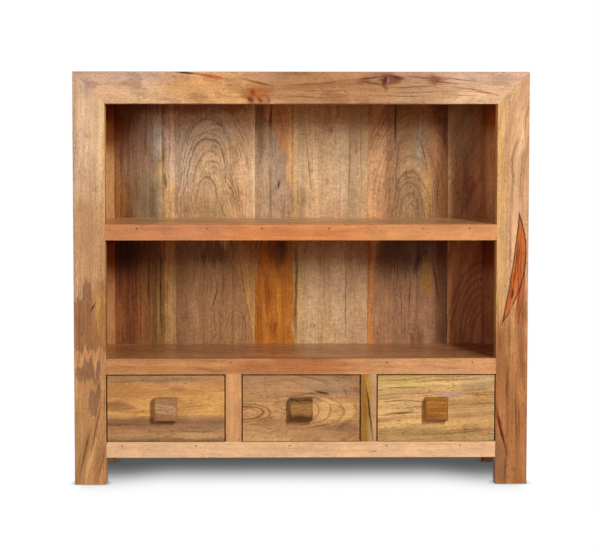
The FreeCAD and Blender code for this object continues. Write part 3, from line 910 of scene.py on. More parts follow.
def knot_group() -> bpy.types.NodeTree:
    """A knot: it pushes the grain aside, and gives its mask, a halo and the rings round it.

    Returns:
        The group.
    """
    group, wiring, given, out = start_group(
        "wood_knot", {"Board": "vector", **numbers("Across", "Along", "Radius", "Lumps")},
        {"Board": "vector", **numbers("Mask", "Halo", "Rings")})
    across, through, along = wiring.split(given["Board"])
    side = across - given["Across"]
    reach = (along - given["Along"]) * 0.42
    radius = (side * side + reach * reach).root() / given["Radius"]
    rough = radius + given["Lumps"] * 2.2
    push = wiring.math("EXPONENT", radius * radius * -0.28)
    halo = rough.smooth(2.8, 0.8)
    wave = wiring.math("SINE", rough * 8.5)
    wiring.feed(out["Board"], wiring.join(across - side * push, through, along))
    wiring.feed(out["Mask"], rough.smooth(1.25, 0.55))
    wiring.feed(out["Halo"], halo)
    wiring.feed(out["Rings"], wave.smooth(0.1, 0.9) * halo)
    return group


def tone_group() -> bpy.types.NodeTree:
    """Darkens and lightens a board's colour by its rings, fibres, specks and pores.

    Returns:
        The group.
    """
    takes = {"Colour": "colour", "Band Tint": "colour", "Line Tint": "colour", "Lift": "colour",
             **numbers("Bands", "Lines", "Fibre", "Grit", "Curl", "Mottle", "Specks", "Pores",
                       "Band Amount", "Line Amount", "Fibre Amount", "Grit Amount", "Curl Amount",
                       "Speck Amount")}
    group, wiring, given, out = start_group("wood_tone", takes, {"Colour": "colour"})
    colour = given["Colour"]
    for cover, tint in ((given["Bands"] * given["Band Amount"], given["Band Tint"]),
                        (given["Lines"] * given["Line Amount"], given["Line Tint"]),
                        (given["Specks"] * given["Speck Amount"], paint(SPECK_TINT)),
                        (given["Pores"] * 0.3, paint(PORE_TINT))):
        colour = wiring.mix(cover, colour, tint, "MULTIPLY")
    light = 1.0
    for swing, amount in (("Fibre", given["Fibre Amount"]), ("Grit", given["Grit Amount"]),
                          ("Curl", given["Curl Amount"]), ("Mottle", 0.22)):
        light = light + (given[swing] - 0.5) * amount
    scaled = wiring.vector("MULTIPLY", colour, wiring.join(light, light, light))
    wiring.feed(out["Colour"], wiring.vector("MULTIPLY", scaled, given["Lift"]))
    return group


def painted_shade_group() -> bpy.types.NodeTree:
    """The masks of the painted shade in the corners of the bays and of the pale colour painted inside the
    feet under the case.

    Returns:
        The group.
    """
    group, wiring, given, out = start_group("painted_corner_shade", {"Place": "vector", "Lumps": "number"},
                                            numbers("Mask", "Foot", "Corner Shade", "Inside"))
    # Places on the part: the shelf's edge spans heights 0.541 to 0.576, the top rails start at 0.84.
    across, depth, height = wiring.split(given["Place"])
    beside = abs(across)
    inside = depth.smooth(0.158, 0.153) * beside.smooth(0.496, 0.480)
    # Inner front of the back feet under the case, painted pale so that it shows the grey of the floor's
    # painted shadow.
    foot = depth.smooth(0.150, 0.128) * beside.smooth(0.496, 0.470)
    wiring.feed(out["Inside"], inside)
    wiring.feed(out["Foot"], foot * height.smooth(0.075, 0.062, 0.0, 0.95))

    # Painted shade below the top rail and the shelf, on the shelf beside the posts and under the rail's
    # lip, where these parts shade the bays.
    height = height + given["Lumps"] * 0.03
    below_shelf = wiring.math("LESS_THAN", height, SHELF_HEIGHT)
    above_shelf = wiring.math("GREATER_THAN", height, SHELF_HEIGHT)
    spot = across.linear(-BAY_REACH, BAY_REACH)

    def reaching(places: tuple[tuple[float, float], ...]) -> Number:
        """Say how much lower than elsewhere the painted shade reaches.

        Args:
            places: Pairs of a place along the width and a length.

        Returns:
            The length at the place that is shaded.
        """
        stops = [((where + BAY_REACH) / (2 * BAY_REACH), (low * 10 + 0.5,) * 3 + (1.0,))
                 for where, low in places]
        return wiring.remap("LINEAR", wiring.ramp(spot, stops), 0.0, 1.0, -0.05, 0.05)

    upper = (height + reaching(UPPER_PAINTED_SHADE)).smooth(0.755, 0.835)
    lower = (height + reaching(LOWER_PAINTED_SHADE)).smooth(0.465, 0.540) * below_shelf
    lip_place = across.smooth(-0.06, -0.14).at_least(across.smooth(0.30, 0.33))
    lip = height.smooth(0.808, 0.832) * lip_place
    on_shelf = above_shelf * beside.linear(0.432, 0.415)
    resting = height.smooth(0.680, 0.585, 0.0, 0.25) * on_shelf
    most = upper.at_least(lower).at_least(resting.at_least(lip))
    wiring.feed(out["Mask"], most * beside.smooth(0.395, 0.440, 0.85, 1.5) * inside)

    # Deepest painted shade, in the corners beside the posts under the top rail and the shelf.
    under_shelf = height.smooth(0.490, 0.545) * below_shelf
    deep = height.smooth(0.785, 0.838).at_least(under_shelf)
    end = beside.smooth(0.405, 0.440) * inside * across.linear(0.0, 0.1, 1.0, 0.6)
    wiring.feed(out["Corner Shade"], (deep * end).at_least(lip * (inside * 0.5)))
    return group


def lacquer_group() -> bpy.types.NodeTree:
    """Satin lacquer over open pores: roughness, and the height that its bump takes.

    Returns:
        The group.
    """
    takes = numbers("Gloss", "Fibre", "Pores", "Lumps", "Lines")
    group, wiring, given, out = start_group("lacquer", takes, numbers("Roughness", "Height"))
    rough = given["Gloss"] + (given["Fibre"] - 0.5) * 0.1 + given["Pores"] * 0.22
    height = given["Fibre"] * 0.3 - given["Pores"] * 0.6 - given["Lines"] * 0.2
    wiring.feed(out["Roughness"], rough + given["Lumps"] * 0.08)
    wiring.feed(out["Height"], height + given["Lumps"])
    return group


GROUP_MAKERS: dict[str, Callable[[], bpy.types.NodeTree]] = {
    "wood_rings": rings_group,
    "wood_fibres": fibres_group,
    "heart_patch": patch_group,
    "dark_streak": streak_group,
    "ring_arch": arch_group,
    "wood_knot": knot_group,
    "wood_tone": tone_group,
    "painted_corner_shade": painted_shade_group,
    "lacquer": lacquer_group,
}


def shared_group(name: str) -> bpy.types.NodeTree:
    """Return a shared node group, which is built the first time that it is asked for."""
    return bpy.data.node_groups.get(name) or GROUP_MAKERS[name]()


# ---------------------------------------------------------------- joiner's tools


CLOSE = 1e-5
MERGED = 1e-6
FLAT_ANGLE = math.radians(0.5)
SMOOTH_ANGLE = math.radians(40)


class Axis(Enum):
    """The three directions of the part."""

    X = 0
    Y = 1
    Z = 2


def only(thing: bpy.types.Object) -> None:
    """Make one object the only selected and the active one.

    Args:
        thing: The object.
    """
    if bpy.context.object and bpy.context.object.mode != "OBJECT":
        bpy.ops.object.mode_set(mode="OBJECT")
    bpy.ops.object.select_all(action="DESELECT")
    thing.select_set(True)
    bpy.context.view_layer.objects.active = thing


def width_of(length: Axis, thickness: Axis) -> Axis:
    """Return the third direction of a timber, from those of its length and thickness."""
    return next(axis for axis in Axis if axis not in (length, thickness))


def is_arris(edge: bmesh.types.BMEdge, length: Axis, thickness: Axis,
             reach: dict[float, tuple[float, float]]) -> bool:
    """Say whether an edge is one of the long corners of a timber.

    Args:
        edge: The edge.
        length: Direction of the timber's length.
        thickness: Direction in which its two faces look.
        reach: Lowest and highest place across each of the faces that get rounded corners.

    Returns:
        True where the edge runs along the timber at the side of such a face.
    """
    first, second = (vertex.co for vertex in edge.verts)
    width = width_of(length, thickness)
    if any(abs(first[axis.value] - second[axis.value]) > CLOSE for axis in (thickness, width)):
        return False
    for face, sides in reach.items():
        if abs(first[thickness.value] - face) < CLOSE:
            return min(abs(first[width.value] - side) for side in sides) < CLOSE
    return False


def eased_copy(node: str, length: Axis, thickness: Axis, radius: float,
               front_only: bool) -> bpy.types.Object:
    """Copy a packed timber, merge its mesh and round its long corners.

    Args:
        node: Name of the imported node.
        length: Direction of the timber's length.
        thickness: Direction in which its two faces look.
        radius: Width of the rounding.
        front_only: Whether only the face that looks forwards gets rounded corners.

    Returns:
        The new object.
    """
    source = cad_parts[node]
    copy = bpy.data.objects.new(f"{node}_eased", source.data.copy())
    copy.data.materials.clear()
    bpy.context.scene.collection.objects.link(copy)
    only(copy)
    bpy.ops.object.mode_set(mode="EDIT")
    bpy.ops.mesh.select_all(action="SELECT")
    bpy.ops.mesh.remove_doubles(threshold=MERGED)
    bpy.ops.mesh.dissolve_limited(angle_limit=FLAT_ANGLE)
    bpy.ops.mesh.select_all(action="DESELECT")
    bpy.ops.mesh.select_mode(type="EDGE")
    mesh = bmesh.from_edit_mesh(copy.data)
    places = [vertex.co[thickness.value] for vertex in mesh.verts]
    width = width_of(length, thickness)
    reach = {}
    for face in [min(places)] if front_only else [min(places), max(places)]:
        sides = [v.co[width.value] for v in mesh.verts if abs(v.co[thickness.value] - face) < CLOSE]
        reach[face] = (min(sides), max(sides))
    for edge in mesh.edges:
        edge.select_set(is_arris(edge, length, thickness, reach))
    bmesh.update_edit_mesh(copy.data)
    bpy.ops.mesh.bevel(offset=radius, segments=3, profile=0.5, affect="EDGES", clamp_overlap=False)
    bpy.ops.mesh.select_all(action="SELECT")
    bpy.ops.mesh.quads_convert_to_tris()
    bpy.ops.object.mode_set(mode="OBJECT")
    bpy.ops.object.shade_smooth_by_angle(angle=SMOOTH_ANGLE)
    bpy.ops.object.modifier_add(type="WEIGHTED_NORMAL")
    level = copy.modifiers[-1]
    level.keep_sharp = True
    level.weight = 100
    bpy.ops.object.modifier_apply(modifier=level.name)
    return copy


def fit_timber(node: str, finish: bpy.types.Material, length: Axis, thickness: Axis,
               radius: float, front_only: bool = False, body: str = "carcass") -> None:
    """Put an eased and finished copy in a packed timber's place.

    Args:
        node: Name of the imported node.
        finish: Material of the timber.
        length: Direction of its length.
        thickness: Direction in which its two faces look.
        radius: Width of the rounding of its long corners.
        front_only: Whether only the face that looks forwards gets rounded corners.
        body: The body that it moves with.
    """
    piece = eased_copy(node, length, thickness, radius, front_only)
    piece.data.materials.append(finish)
    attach(piece, body)
    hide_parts(node)
    log.info("%s: %d faces", piece.name, len(piece.data.polygons))


def dress_node(node: str, finish: bpy.types.Material) -> None:
    """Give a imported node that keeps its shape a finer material.

    Args:
        node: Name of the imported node.
        finish: Its new material.
    """
    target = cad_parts[node]
    target.data.materials.clear()
    target.data.materials.append(finish)
    log.info("%s: finished as %s", node, finish.name)


# ---------------------------------------------------------------- sub-assemblies


@dataclass
class FrontFrame:
    """The two front posts and the mitred rail over them."""

    easing: float = 0.0014
    left_post: Timber = Timber(
        "left_post_wood", Grain.UPRIGHT,
        ((-0.500, "c9a280"), (-0.488, "d5ad89"), (-0.470, "dab391"), (-0.452, "d6ad86"),
         (-0.438, "e2ba88"), (-0.430, "d8a870")),
        Rings(pith=(-0.62, -0.10, 0.4), lean=0.03, width=0.006, depth=0.30, lines=0.25),
        marks=(
            Patch(-0.465, 0.520, 0.070, 0.150, "bb8a60", soft=0.8, amount=0.9),
            Patch(-0.465, 0.100, 0.090, 0.340, "bd8654", amount=0.95),
            Patch(-0.470, 0.356, 0.060, 0.062, "986741", ragged=0.020, soft=0.10, amount=0.9, point=4.0),
            Patch(-0.443, 0.425, 0.018, 0.030, "aa774a", ragged=0.02, soft=0.6, amount=0.8),
            Patch(-0.439, 0.365, 0.012, 0.055, "b17c44", soft=0.4),
            Patch(-0.474, 0.276, 0.036, 0.022, "cd9160", soft=0.2, amount=0.9),
            Patch(-0.470, 0.252, 0.026, 0.030, "966a48", lean=0.3, ragged=0.04, soft=0.10, amount=0.95),
            Patch(-0.456, 0.190, 0.012, 0.042, "906747", lean=0.2, soft=0.15, amount=0.95),
            Patch(-0.447, 0.395, 0.005, 0.030, "c8954f", lean=0.1, ragged=0.02, soft=0.5, amount=0.7),
            Patch(-0.472, 0.428, 0.009, 0.020, "94694c", ragged=0.02),
            Streak(-0.459, 0.392, 0.014, 0.0022, lean=0.43, colour="4a2c1a", amount=0.9),
            Patch(-0.485, 0.050, 0.010, 0.080, "a37348", lean=0.25, soft=0.6, amount=0.7),
            Patch(-0.446, 0.045, 0.008, 0.065, "a8744c", lean=0.20, soft=0.6, amount=0.7),
            Patch(-0.466, 0.100, 0.005, 0.070, "ac7e50", lean=0.25, soft=0.6, amount=0.7),
            Patch(-0.462, 0.060, 0.005, 0.060, "d49f64", lean=0.25, soft=0.5),
            Streak(-0.478, 0.070, 0.060, 0.0030, lean=0.22, colour="7a5238", amount=0.7),
            Streak(-0.452, 0.130, 0.080, 0.0030, lean=0.20, colour="7a5238", amount=0.6),
            Streak(-0.440, 0.050, 0.050, 0.0020, lean=0.22, colour="8a6244", amount=0.50),
            Patch(-0.468, 0.880, 0.013, 0.018, "a5867a", ragged=0.02, soft=0.9, amount=0.6),
        ), seed=3.1)
    right_post: Timber = Timber(
        "right_post_wood", Grain.UPRIGHT,
        ((0.430, "d29c62"), (0.440, "d6a369"), (0.452, "c29366"), (0.466, "cc9b6e"),
         (0.482, "d2a37a"), (0.500, "c69067")),
        Rings(pith=(0.57, -0.10, 0.72), lean=0.02, arch=0.3, width=0.006, depth=0.42, lines=0.50),
        marks=(
            Patch(0.465, 0.100, 0.100, 0.300, "aa6d3e", amount=0.95),
            Patch(0.490, 0.330, 0.012, 0.100, "996137", soft=0.5, amount=0.7),
            Patch(0.4785, 0.478, 0.0130, 0.118, "c46324", lean=0.15, bow=-1.2, ragged=0.004, soft=0.08,
                  amount=0.94, rim=0.95),
            Patch(0.482, 0.405, 0.0052, 0.066, "b85a24", lean=0.16, ragged=0.003, soft=0.10, amount=0.9,
                  rim=0.95),
            Patch(0.4655, 0.422, 0.0030, 0.014, "39181d", lean=0.15, ragged=0.005, soft=0.5),
            Streak(0.472, 0.480, 0.090, 0.0024, lean=0.10, colour="7a3218", amount=0.85),
            Streak(0.479, 0.500, 0.070, 0.0016, lean=0.12, bow=-0.5, colour="6a2a18", amount=0.7),
            Streak(0.463, 0.430, 0.050, 0.0018, lean=0.14, colour="8a4222", amount=0.6),
            Streak(0.491, 0.790, 0.030, 0.0016, colour="8a3020", amount=0.6),
            Patch(0.462, 0.330, 0.010, 0.060, "c28a52", soft=0.8, amount=0.7),
            Patch(0.480, 0.250, 0.007, 0.090, "c08450", lean=-0.05, ragged=0.02, soft=0.7, amount=0.6),
            Patch(0.455, 0.220, 0.006, 0.070, "8a5732", lean=-0.10, ragged=0.02, soft=0.7, amount=0.6),
            Patch(0.436, 0.070, 0.012, 0.100, "8a6144", lean=-0.20, ragged=0.01, soft=0.5, amount=0.7),
            Patch(0.447, 0.115, 0.006, 0.070, "b26a3e", lean=-0.225, ragged=0.005, soft=0.8, amount=0.7),
            Streak(0.4425, 0.122, 0.066, 0.0040, lean=-0.225, bow=0.4, colour="662414", amount=0.9),
            Patch(0.440, 0.290, 0.008, 0.070, "93603a", ragged=0.02, soft=0.7, amount=0.7),
        ), seed=7.7)
    top_rail: Timber = Timber(
        "top_rail_wood", Grain.CROSSWISE,
        ((0.840, "d9ae86"), (0.860, "d8ab84"), (0.880, "d3a785"), (0.895, "cea488"), (0.9085, "c79f8a"),
         (0.910, "c8986c")),
        Rings(pith=(0.878, -0.10, 0.00), lean=-0.06, arch=-0.05, width=0.005, depth=0.24),
        marks=(
            Patch(0.899, -0.370, 0.005, 0.040, "b8a498", ragged=0.02, soft=0.8, amount=0.5),
            Patch(0.875, -0.185, 0.060, 0.130, "ce955b", ragged=0.010, soft=0.7),
            Patch(0.872, 0.060, 0.075, 0.180, "ad7a4e", ragged=0.015, soft=0.5, amount=0.95),
            Patch(0.875, 0.260, 0.060, 0.085, "a97d54", ragged=0.015, soft=0.8),
            Patch(0.892, 0.291, 0.012, 0.022, "98583a", soft=0.7, amount=0.7),
            Patch(0.860, -0.100, 0.018, 0.034, "a85820", ragged=0.012, soft=0.9),
            Streak(0.9062, -0.250, 0.032, 0.0036, lean=-0.08, colour="3a1c10", amount=0.95),
            Patch(0.900, -0.199, 0.0035, 0.034, "a8481c", lean=-0.16, ragged=0.004, soft=0.8),
            Streak(0.887, -0.098, 0.042, 0.0046, lean=-0.27, colour="8a6448", amount=0.7),
            Patch(0.880, 0.040, 0.0050, 0.120, "9c5c36", lean=0.07, ragged=0.010, soft=0.9, amount=0.65),
            Streak(0.886, 0.040, 0.100, 0.0030, lean=0.08, colour="8a5030", amount=0.45),
            Streak(0.869, 0.050, 0.085, 0.0026, colour="8a5434", amount=0.5),
            Streak(0.855, 0.010, 0.050, 0.0020, lean=-0.05, amount=0.5),
            Patch(0.889, 0.137, 0.007, 0.015, "8c4c2a", ragged=0.010, soft=0.8, amount=0.75),
            Patch(0.8935, 0.194, 0.0115, 0.028, "743822", ragged=0.010, soft=0.5, amount=0.88),
            Patch(0.877, 0.184, 0.009, 0.006, "864428", ragged=0.006, soft=0.8, amount=0.8),
            Patch(0.889, 0.181, 0.008, 0.005, "481810", lean=0.5, ragged=0.004, soft=0.7, amount=0.8),
            Patch(0.897, 0.207, 0.004, 0.010, "54200f", lean=-0.2, ragged=0.004, soft=0.7, amount=0.75),
            Patch(0.891, 0.1895, 0.0060, 0.0015, "c08c6c", lean=0.6, ragged=0.001, soft=0.9, amount=0.6),
            Streak(0.896, 0.150, 0.035, 0.0030, lean=0.10, colour="6a2a14"),
            Streak(0.884, 0.158, 0.030, 0.0026, lean=-0.16, colour="6a2a14", amount=0.7),
            Streak(0.877, 0.240, 0.055, 0.0022, lean=0.05, colour="7a4426", amount=0.65),
            Streak(0.866, 0.262, 0.070, 0.0018, lean=0.02, colour="7a4426", amount=0.60),
            Streak(0.857, 0.215, 0.080, 0.0018, colour="7a4426", amount=0.55),
            Streak(0.897, 0.262, 0.045, 0.0024, lean=-0.08, colour="7a3a1e", amount=0.70),
            Streak(0.887, 0.310, 0.040, 0.0024, lean=-0.12, colour="6a2a14", amount=0.70),
            Streak(0.893, 0.350, 0.045, 0.0020, lean=-0.10, colour="7a4426", amount=0.60),
            Streak(0.872, 0.365, 0.050, 0.0022, lean=-0.10, colour="7a4426", amount=0.60),
            Streak(0.864, 0.400, 0.035, 0.0030, lean=-0.14, colour="7a4426", amount=0.65),
            Streak(0.858, 0.345, 0.050, 0.0016, lean=-0.03, colour="7a4426", amount=0.50),
            Patch(0.864, -0.107, 0.008, 0.006, "8a3812", ragged=0.005, soft=0.8, amount=0.8),
            Patch(0.849, -0.113, 0.007, 0.007, "661c08", ragged=0.005, soft=0.7),
            Patch(0.848, -0.092, 0.006, 0.005, "78280c", ragged=0.005, soft=0.8, amount=0.75),
            Patch(0.849, -0.073, 0.007, 0.004, "863a18", lean=0.4, ragged=0.005, soft=0.8, amount=0.75),
            Patch(0.893, 0.290, 0.010, 0.011, "7e4426", ragged=0.012, soft=0.7, amount=0.7),
            Patch(0.882, -0.468, 0.013, 0.018, "a5867a", ragged=0.02, soft=0.9, amount=0.6),
        ), seed=11.3)

    def build(self) -> None:
        """Fit the posts and the rail."""
        for side, finish in (("left", self.left_post), ("right", self.right_post)):
            fit_timber(f"front_{side}_post", finish.material(), Axis.Z, Axis.Y, self.easing)
        fit_timber("top_front_rail", self.top_rail.material(), Axis.X, Axis.Y, self.easing,
                   front_only=True)


def lower_bay(across: float, half_across: float, colour: str, **shape: float) -> Patch:
    """Return a blunt patch that tones a board over the whole height of the lower bay."""
    return Patch(across, 0.290, half_across, 0.275, colour, **{"point": 5.0, **shape})


@dataclass
class BackWall:
    """The six upright back boards and the strips of the back posts beside them."""

    easing: float = 0.0005
    post_easing: float = 0.0014

    def boards(self) -> list[Timber]:
        """Return the finishes of the six boards from left to right."""
        return [self.board_1(), self.board_2(), self.board_3(), self.board_4(), self.board_5(),
                self.board_6()]

    @staticmethod
    def board_1() -> Timber:
        """Reddish and olive heartwood, grey above and gold at its right side.

        Returns:
            The board's finish.
        """
        return Timber(
            "back_board_1_wood", Grain.UPRIGHT,
            ((-0.430, "774122"), (-0.397, "74401f"), (-0.370, "7a4c2b"), (-0.345, "866238"),
             (-0.331, "86663e"), (-0.318, "b88a52"), (-0.304, "cb9f62"), (-0.289, "dcb384")),
            Rings(pith=(-0.75, 0.0, 0.4), lines=0.40),
            marks=(
                Patch(-0.424, 0.680, 0.024, 0.200, "9c6430"),
                Patch(-0.378, 0.720, 0.038, 0.200, "9c7a5e", soft=0.4),
                Patch(-0.352, 0.600, 0.030, 0.080, "8e795a", ragged=0.05, soft=0.5),
                Patch(-0.400, 0.600, 0.014, 0.060, "8c6032", ragged=0.04, soft=0.5),
                Patch(-0.328, 0.806, 0.045, 0.042, "c8b4a2", ragged=0.02, soft=0.9, amount=0.6),
                Patch(-0.333, 0.772, 0.0145, 0.064, "f0e8da", ragged=0.02, soft=0.9),
                Patch(-0.340, 0.690, 0.008, 0.040, "8c7e69", soft=0.6, amount=0.6),
                Patch(-0.322, 0.680, 0.017, 0.034, "cfaa78", soft=0.8),
                Patch(-0.325, 0.622, 0.010, 0.050, "ab9876", soft=0.7),
                Patch(-0.299, 0.620, 0.018, 0.085, "e0bb84", ragged=0.02, soft=0.6),
                Patch(-0.298, 0.760, 0.013, 0.120, "eccdb4", ragged=0.02, soft=0.6),
                Patch(-0.311, 0.655, 0.004, 0.018, "7d6a52", ragged=0.02, soft=0.6),
                lower_bay(-0.392, 0.046, "8a522e", soft=0.25),
                lower_bay(-0.340, 0.020, "80572e", ragged=0.04, soft=0.5),
                Patch(-0.346, 0.340, 0.0022, 0.100, "95693a", ragged=0.01, soft=0.7),
                Patch(-0.331, 0.330, 0.0020, 0.090, "94703a", ragged=0.01, soft=0.7),
                Patch(-0.316, 0.400, 0.005, 0.140, "96622c", soft=0.5),
                lower_bay(-0.299, 0.012, "b58a54", ragged=0.02, soft=0.4),
                Patch(-0.372, 0.340, 0.009, 0.130, "9c6034", ragged=0.02, soft=0.7, amount=0.8),
                # Near-black patch in the top-left corner of the lower bay: painted shade under the shelf.
                Patch(-0.402, 0.500, 0.034, 0.050, "3c1c0c", ragged=0.02, soft=0.9, amount=0.8),
                Streak(-0.325, 0.430, 0.120, 0.0024, colour="6a4a24", amount=0.7),
                Streak(-0.352, 0.430, 0.120, 0.0030, colour="4a3018", amount=0.6),
                Patch(-0.414, 0.760, 0.012, 0.070, "74482a", ragged=0.02, soft=0.8, amount=0.7),
                Patch(-0.345, 0.740, 0.012, 0.080, "ac8c70", ragged=0.02, soft=0.8, amount=0.6),
                Patch(-0.375, 0.630, 0.014, 0.050, "8a7050", soft=0.7, amount=0.6),
                Streak(-0.370, 0.350, 0.090, 0.0018, lean=0.03, colour="5a3820", amount=0.6),
                Streak(-0.405, 0.330, 0.080, 0.0016, lean=-0.02, colour="5a3820", amount=0.5),
            ), fibre=0.30, grit=0.40, curl=0.14, grime=0.9, seed=1.3)

    @staticmethod
    def board_2() -> Timber:
        """Arches over grey heartwood, which a bowed line parts from a pale right side.

        Returns:
            The board's finish.
        """
        return Timber(
            "back_board_2_wood", Grain.UPRIGHT,
            ((-0.289, "d2a981"), (-0.265, "cba57c"), (-0.210, "cca67a"), (-0.160, "cba474"),
             (-0.140, "d3a87a"), (-0.112, "d7b189"), (-0.103, "e8c89c")),
            Rings(pith=(-0.200, 0.150, 0.66), arch=0.55, width=0.009, depth=0.30),
            marks=(
                Patch(-0.265, 0.735, 0.026, 0.110, "dcc8ae", soft=0.8, amount=0.7),
                Patch(-0.205, 0.790, 0.060, 0.050, "d4bca4", ragged=0.02, soft=0.8, amount=0.8),
                Patch(-0.195, 0.700, 0.045, 0.075, "dcba92", soft=0.9, amount=0.7),
                Patch(-0.190, 0.585, 0.040, 0.030, "c4a678", soft=0.6, amount=0.8),
                lower_bay(-0.120, 0.060, "b7814a", soft=0.1, amount=0.95, point=6.0),
                Patch(-0.227, 0.300, 0.115, 0.270, "a3754e", lean=-0.17, ragged=0.008, soft=0.05,
                      amount=0.95, point=6.0),
                lower_bay(-0.275, 0.012, "8d6440", soft=0.6, amount=0.7, point=6.0),
                Patch(-0.205, 0.440, 0.030, 0.060, "af845c", soft=0.8, amount=0.7),
                # Dark patch at the top of the lower bay: painted shade under the shelf.
                Patch(-0.200, 0.500, 0.060, 0.030, "6f4a32", soft=0.7, amount=0.8),
                Streak(-0.130, 0.420, 0.150, 0.0026, lean=-0.16, colour="7a5238", amount=0.5),
                Streak(-0.193, 0.412, 0.020, 0.0017, lean=0.12, colour="4a2c1a", amount=0.85),
                Streak(-0.198, 0.384, 0.032, 0.0017, lean=0.29, colour="4a2c1a", amount=0.85),
                Arch(-0.147, 0.335, 0.018, 0.022, legs=0.03, flare=0.2, width=0.0018, amount=0.5),
                Arch(-0.147, 0.330, 0.013, 0.017, legs=0.03, flare=0.2, width=0.0016, amount=0.4),
                Arch(-0.214, 0.680, 0.062, 0.136, legs=0.12, flare=0.20, width=0.0050, amount=0.22),
                Arch(-0.213, 0.690, 0.054, 0.118, legs=0.14, flare=0.28, width=0.0018, amount=0.45),
                Arch(-0.214, 0.672, 0.050, 0.104, legs=0.12, flare=0.32, width=0.0016, amount=0.35),
                Arch(-0.214, 0.665, 0.045, 0.096, legs=0.12, flare=0.36, width=0.0020, amount=0.65),
                Arch(-0.208, 0.650, 0.036, 0.082, legs=0.10, flare=0.32, width=0.0014, amount=0.40),
                Arch(-0.205, 0.640, 0.030, 0.070, legs=0.05, flare=0.3, width=0.0014, amount=0.35),
                Arch(-0.214, 0.625, 0.025, 0.046, legs=0.07, flare=0.45, width=0.0020, amount=0.55),
                Streak(-0.150, 0.640, 0.080, 0.0020, lean=-0.25, amount=0.45),
                Patch(-0.245, 0.592, 0.045, 0.040, "b89468", ragged=0.02, soft=0.9, amount=0.6),
            ), fibre=0.20, grit=0.34, curl=0.24, grime=0.9, seed=2.9)

    @staticmethod
    def board_3() -> Timber:
        """Grey-mauve heartwood over an amber one, with a gold right side.

        Returns:
            The board's finish.
        """
        return Timber(
            "back_board_3_wood", Grain.UPRIGHT,
            ((-0.103, "b58f62"), (-0.088, "c99c6b"), (-0.060, "c3996b"), (-0.036, "d0a676"),
             (-0.022, "d6a670"), (-0.012, "cca070")),
            Rings(pith=(-0.25, 0.10, 0.4), depth=0.35, lines=0.4),
            marks=(
                Patch(-0.066, 0.6115, 0.048, 0.111, "b59b7d", ragged=0.005, soft=0.06, rim=0.22),
                Patch(-0.080, 0.712, 0.049, 0.098, "ae947a", ragged=0.005, soft=0.08, rim=0.20),
                Patch(-0.084, 0.650, 0.018, 0.080, "c0a078", ragged=0.02, soft=0.6, amount=0.6),
                Patch(-0.040, 0.790, 0.018, 0.060, "cc9260", soft=0.5),
                Patch(-0.088, 0.800, 0.016, 0.070, "96764f", ragged=0.04, soft=0.6, amount=0.7),
                Streak(-0.066, 0.810, 0.030, 0.0045, lean=0.08, colour="a02a10"),
                Streak(-0.055, 0.720, 0.080, 0.0014, lean=-0.02, amount=0.5),
                Streak(-0.048, 0.653, 0.014, 0.0030, colour="3c2014", amount=0.95),
                Streak(-0.035, 0.600, 0.040, 0.0040, lean=0.10, colour="8a6a50", amount=0.4),
                Patch(-0.058, 0.285, 0.049, 0.275, "b0681f", ragged=0.02, soft=0.12, amount=0.97,
                      point=5.0),
                # The two dark patches at the top of the lower bay: painted shade under the shelf.
                Patch(-0.045, 0.505, 0.028, 0.050, "6a3a1c", ragged=0.04, soft=0.6, amount=0.75),
                Patch(-0.036, 0.520, 0.014, 0.032, "3c1e10", soft=0.7, amount=0.6),
                Patch(-0.075, 0.400, 0.005, 0.060, "8e4c16", ragged=0.02, soft=0.5),
                Patch(-0.045, 0.380, 0.005, 0.050, "c8842e", ragged=0.02, soft=0.5),
                Patch(-0.082, 0.340, 0.004, 0.050, "c07a2a", ragged=0.02, soft=0.5),
                Patch(-0.060, 0.320, 0.008, 0.030, "94501a", ragged=0.02, soft=0.6),
            ), grit=0.38, curl=0.20, grime=0.9, seed=4.1)

    @staticmethod
    def board_4() -> Timber:
        """Pale sapwood with an olive left side.

        Returns:
            The board's finish.
        """
        return Timber(
            "back_board_4_wood", Grain.UPRIGHT,
            ((-0.012, "dcb885"), (0.000, "cfae80"), (0.012, "cfb088"), (0.022, "d5b084"),
             (0.075, "d3b087"), (0.100, "c8a983"), (0.130, "c0a17b"), (0.161, "cba67a")),
            Rings(pith=(0.45, 0.05, 0.4), width=0.009, depth=0.20, lines=0.22),
            marks=(
                Patch(0.000, 0.600, 0.014, 0.050, "a88a5c", ragged=0.04, soft=0.6, amount=0.7),
                Patch(0.090, 0.580, 0.020, 0.030, "cf9d7f", ragged=0.04, soft=0.7, amount=0.7),
                Streak(0.024, 0.700, 0.100, 0.0018, lean=-0.11, colour="6a4830", amount=0.6),
                Streak(0.118, 0.700, 0.130, 0.0030, lean=0.02, colour="a08468", amount=0.5),
                Streak(0.146, 0.720, 0.110, 0.0024, colour="a08468", amount=0.5),
                Knot(0.067, 0.663, 0.0022, "9a7048", 0.5),
                Knot(0.076, 0.780, 0.0024, "8a5e3c", 0.55),
                lower_bay(0.075, 0.120, "c49e75"),
                Patch(-0.004, 0.380, 0.012, 0.180, "c8a464", ragged=0.02, soft=0.4, amount=0.8),
                Streak(-0.007, 0.400, 0.170, 0.0060, lean=0.01, colour="6a4426"),
                Streak(0.111, 0.400, 0.140, 0.0022, colour="8a5e42", amount=0.6),
                Patch(0.060, 0.330, 0.030, 0.040, "cfa66c", soft=0.8, amount=0.5),
                Patch(0.140, 0.290, 0.016, 0.275, "b88e66", ragged=0.02, soft=0.7, amount=0.6),
            ), fibre=0.17, grit=0.30, curl=0.28, specks=0.45, grime=0.9, seed=5.7)

